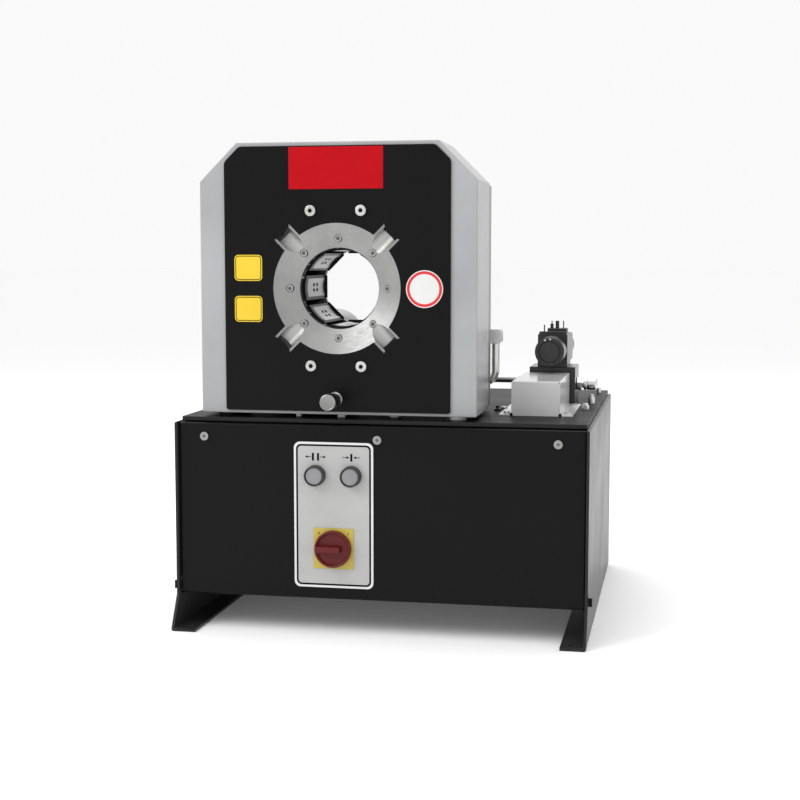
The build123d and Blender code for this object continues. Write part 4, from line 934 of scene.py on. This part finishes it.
tint(turned(motor_trim, at(MOTOR_X, MOTOR_DEPTH, 401.0), UP,        # the fan cowl's seam
            [(79.6, -0.2), (80.25, 0.0), (80.25, 3.4), (79.6, 3.6), (79.6, -0.2)], 96), 0)
for number in range(3):
    way = Vector((math.cos(math.radians(30 + 120 * number)),
                  math.sin(math.radians(30 + 120 * number)), 0))
    tint(stub(motor_trim, at(MOTOR_X + 80 * way.x, MOTOR_DEPTH + 80 * way.y, 408.5), way,
              (3.4, -0.6), 0.9, (2.6, 1.7)), 2)
for number in range(4):                     # the flange's bolts
    turn = math.radians(45 + 90 * number)
    place = at(MOTOR_X + 63 * math.cos(turn), MOTOR_DEPTH + 63 * math.sin(turn), 313.7)
    tint(turned(motor_trim, place, UP, [(0, 9.5), (9.4, 9.5), (9.4, 11.0), (0, 11.0)], 28), 2)
new_piece("motor_trim", motor_trim, [motor_grey, black_plastic, zinc_plate], "machine")
dress(ground_steel, "motor_rotor")

# ---------------------------------------------------------------- oil filler
# A moulded breather cap with finger grooves turns on a plated neck behind the head.
# Oil is poured through the neck into the tank below.
dress(zinc_plate, "filler_neck")
dress(moulded("filler_cap_moulding", (0.02, 0.02, 0.021), 0.36), "filler_cap")

# ---------------------------------------------------------------- valve
# A black steel manifold block bolted to the lid carries a solenoid valve with a coil at each
# end. Between them its body holds an open connector with pins.
manifold_black = powder_coat("manifold_black", (0.010, 0.010, 0.010), 0.20, 0.5, peel=0.03)
dress(manifold_black, "manifold_block")
valve_black = powder_coat("valve_black", (0.012, 0.012, 0.0125), 0.26, 0.5, peel=0.05)
dress(valve_black, "valve_body", "valve_coils")
dress(ground_steel, "valve_spool")
dress(black_plastic, "valve_connector")
VX, _, VZ = middle("valve_coils")
nose = limits("valve_coils")[0].y           # depth of the front coil's end
boot = bmesh.new()
turned(boot, at(VX, 0, VZ), INWARD,
       [(0, nose), (12.6, nose), (13.0, nose + 0.3), (13.6, nose + 0.3), (14.0, nose), (15.6, nose),
        (16.1, nose + 0.4), (16.1, nose + 0.9), (0, nose + 0.9)], 64)
new_piece("valve_boot_front", boot, [black_plastic], "spool")
coil_trim = bmesh.new()
turned(coil_trim, at(VX, 0, VZ), INWARD,
       [(17.1, nose + 0.1), (17.4, nose - 0.25), (18.2, nose - 0.25), (18.5, nose + 0.1),
        (17.1, nose + 0.1)], 64)


def coil_pip(angle, out, radius, stand, tip_radius, tip):
    """A small round head on the coil's end."""
    turn = math.radians(angle)
    return stub(coil_trim, at(VX + out * math.cos(turn), 0, VZ + out * math.sin(turn)), INWARD,
                (radius, nose + 0.2), nose - stand, (tip_radius, nose - tip), 16)


for angle in (22, 158, 205, 240, 300, 335):
    coil_pip(angle, 19.8, 1.5, 0.5, 1.1, 0.9)
for angle in (88, 112):
    tint(coil_pip(angle, 19.6, 1.7, 0.4, 1.2, 0.7), 1)
for aside in (-18.5, 18.5):
    for depth in (300.5, 355.5):
        block(coil_trim, (VX + aside - 1.6, VX + aside + 1.6), (depth - 1.6, depth + 1.6),
              (426.4, 426.7), 0.1)
new_piece("valve_coil_trim", coil_trim, [black_plastic, zinc_plate], "machine")

# ---------------------------------------------------------------- oil line and test coupling
# Bent steel tube with plated nuts and blocks leads the oil from the manifold to the head. A
# capped test coupling with a knurled cap is screwed into the manifold's side.
tube_zinc = plated_steel("tube_zinc", (0.66, 0.66, 0.645), 0.30, 0.06)
dress(tube_zinc, "pressure_tube", "link_tube", "tube_fittings")
_, PORT_DEPTH, PORT_Z = middle("test_coupling")
port = at(limits("manifold_block")[1].x, PORT_DEPTH, PORT_Z)
coupling = bmesh.new()
turned(coupling, port, ACROSS,
       [(0, -11.5), (5.0, -11.5), (5.0, 0), (9.6, 0.05), (11.0, 1.0), (11.0, 7.2), (9.8, 8.2),
        (7.0, 8.2), (7.0, 11.2), (0, 11.2)], 6)
turned(coupling, port, ACROSS,
       [(0, 11.2), (9.0, 11.2), (9.9, 12.0), (9.9, 15.6), (9.4, 16.2), (9.4, 17.2), (9.9, 17.8),
        (9.9, 29.0), (9.0, 31.4), (7.6, 32.9), (4.5, 32.9), (4.0, 32.0), (0, 32.0)], 48)
new_piece("test_coupling_capped", coupling, [tube_zinc], "machine", ["test_coupling"],
          crease=25)

# ---------------------------------------------------------------- cable cover and lid fittings
# A folded sheet box, sprayed light grey, covers the cables where they pass through the lid.
# Small plugs and screws close the lid's spare holes, and a cable gland is at the rear.
box_grey = powder_coat("box_light_grey", (0.60, 0.60, 0.595), 0.14, 0.3, peel=0.03, rub=0.1)
dress(box_grey, "cable_cover")
dress(bright_zinc, "lid_plugs")
dress(black_plastic, "cable_gland")
BOX_FACE, RELIEF_FACE = 112.4, 111.93
# black discs over the box's two corner notches and the gap at its top corner fold: painted shade of
# these openings
relief_shades = bmesh.new()
for x, z, radius, steps in ((179.8, 315.7, 2.4, 20), (252.4, 315.7, 2.4, 20),
                            (250.9, 363.6, 0.9, 16)):
    turned(relief_shades, at(x, 0, z), INWARD,
           [(0, BOX_FACE), (radius, BOX_FACE), (radius, RELIEF_FACE), (0, RELIEF_FACE)], steps)
new_piece("box_corner_relief_shades", relief_shades, [black_rough], "machine")
fittings = bmesh.new()
turned(fittings, at(150.5, 182, 313.6), UP,
       [(0, -0.1), (5.2, -0.1), (5.2, 2.4), (4.4, 3.2), (2.6, 3.2), (2.6, 7.6), (2.0, 8.2),
        (0, 8.2)], 32)
tint(turned(fittings, at(158.0, 205, 313.6), UP,
            [(0, -0.1), (5.0, -0.1), (5.0, 3.0), (4.2, 4.2), (2.2, 4.2), (1.9, 3.0), (0, 3.0)],
            32), 1)
new_piece("lid_small_fittings", fittings, [black_plastic, bright_zinc], "machine")
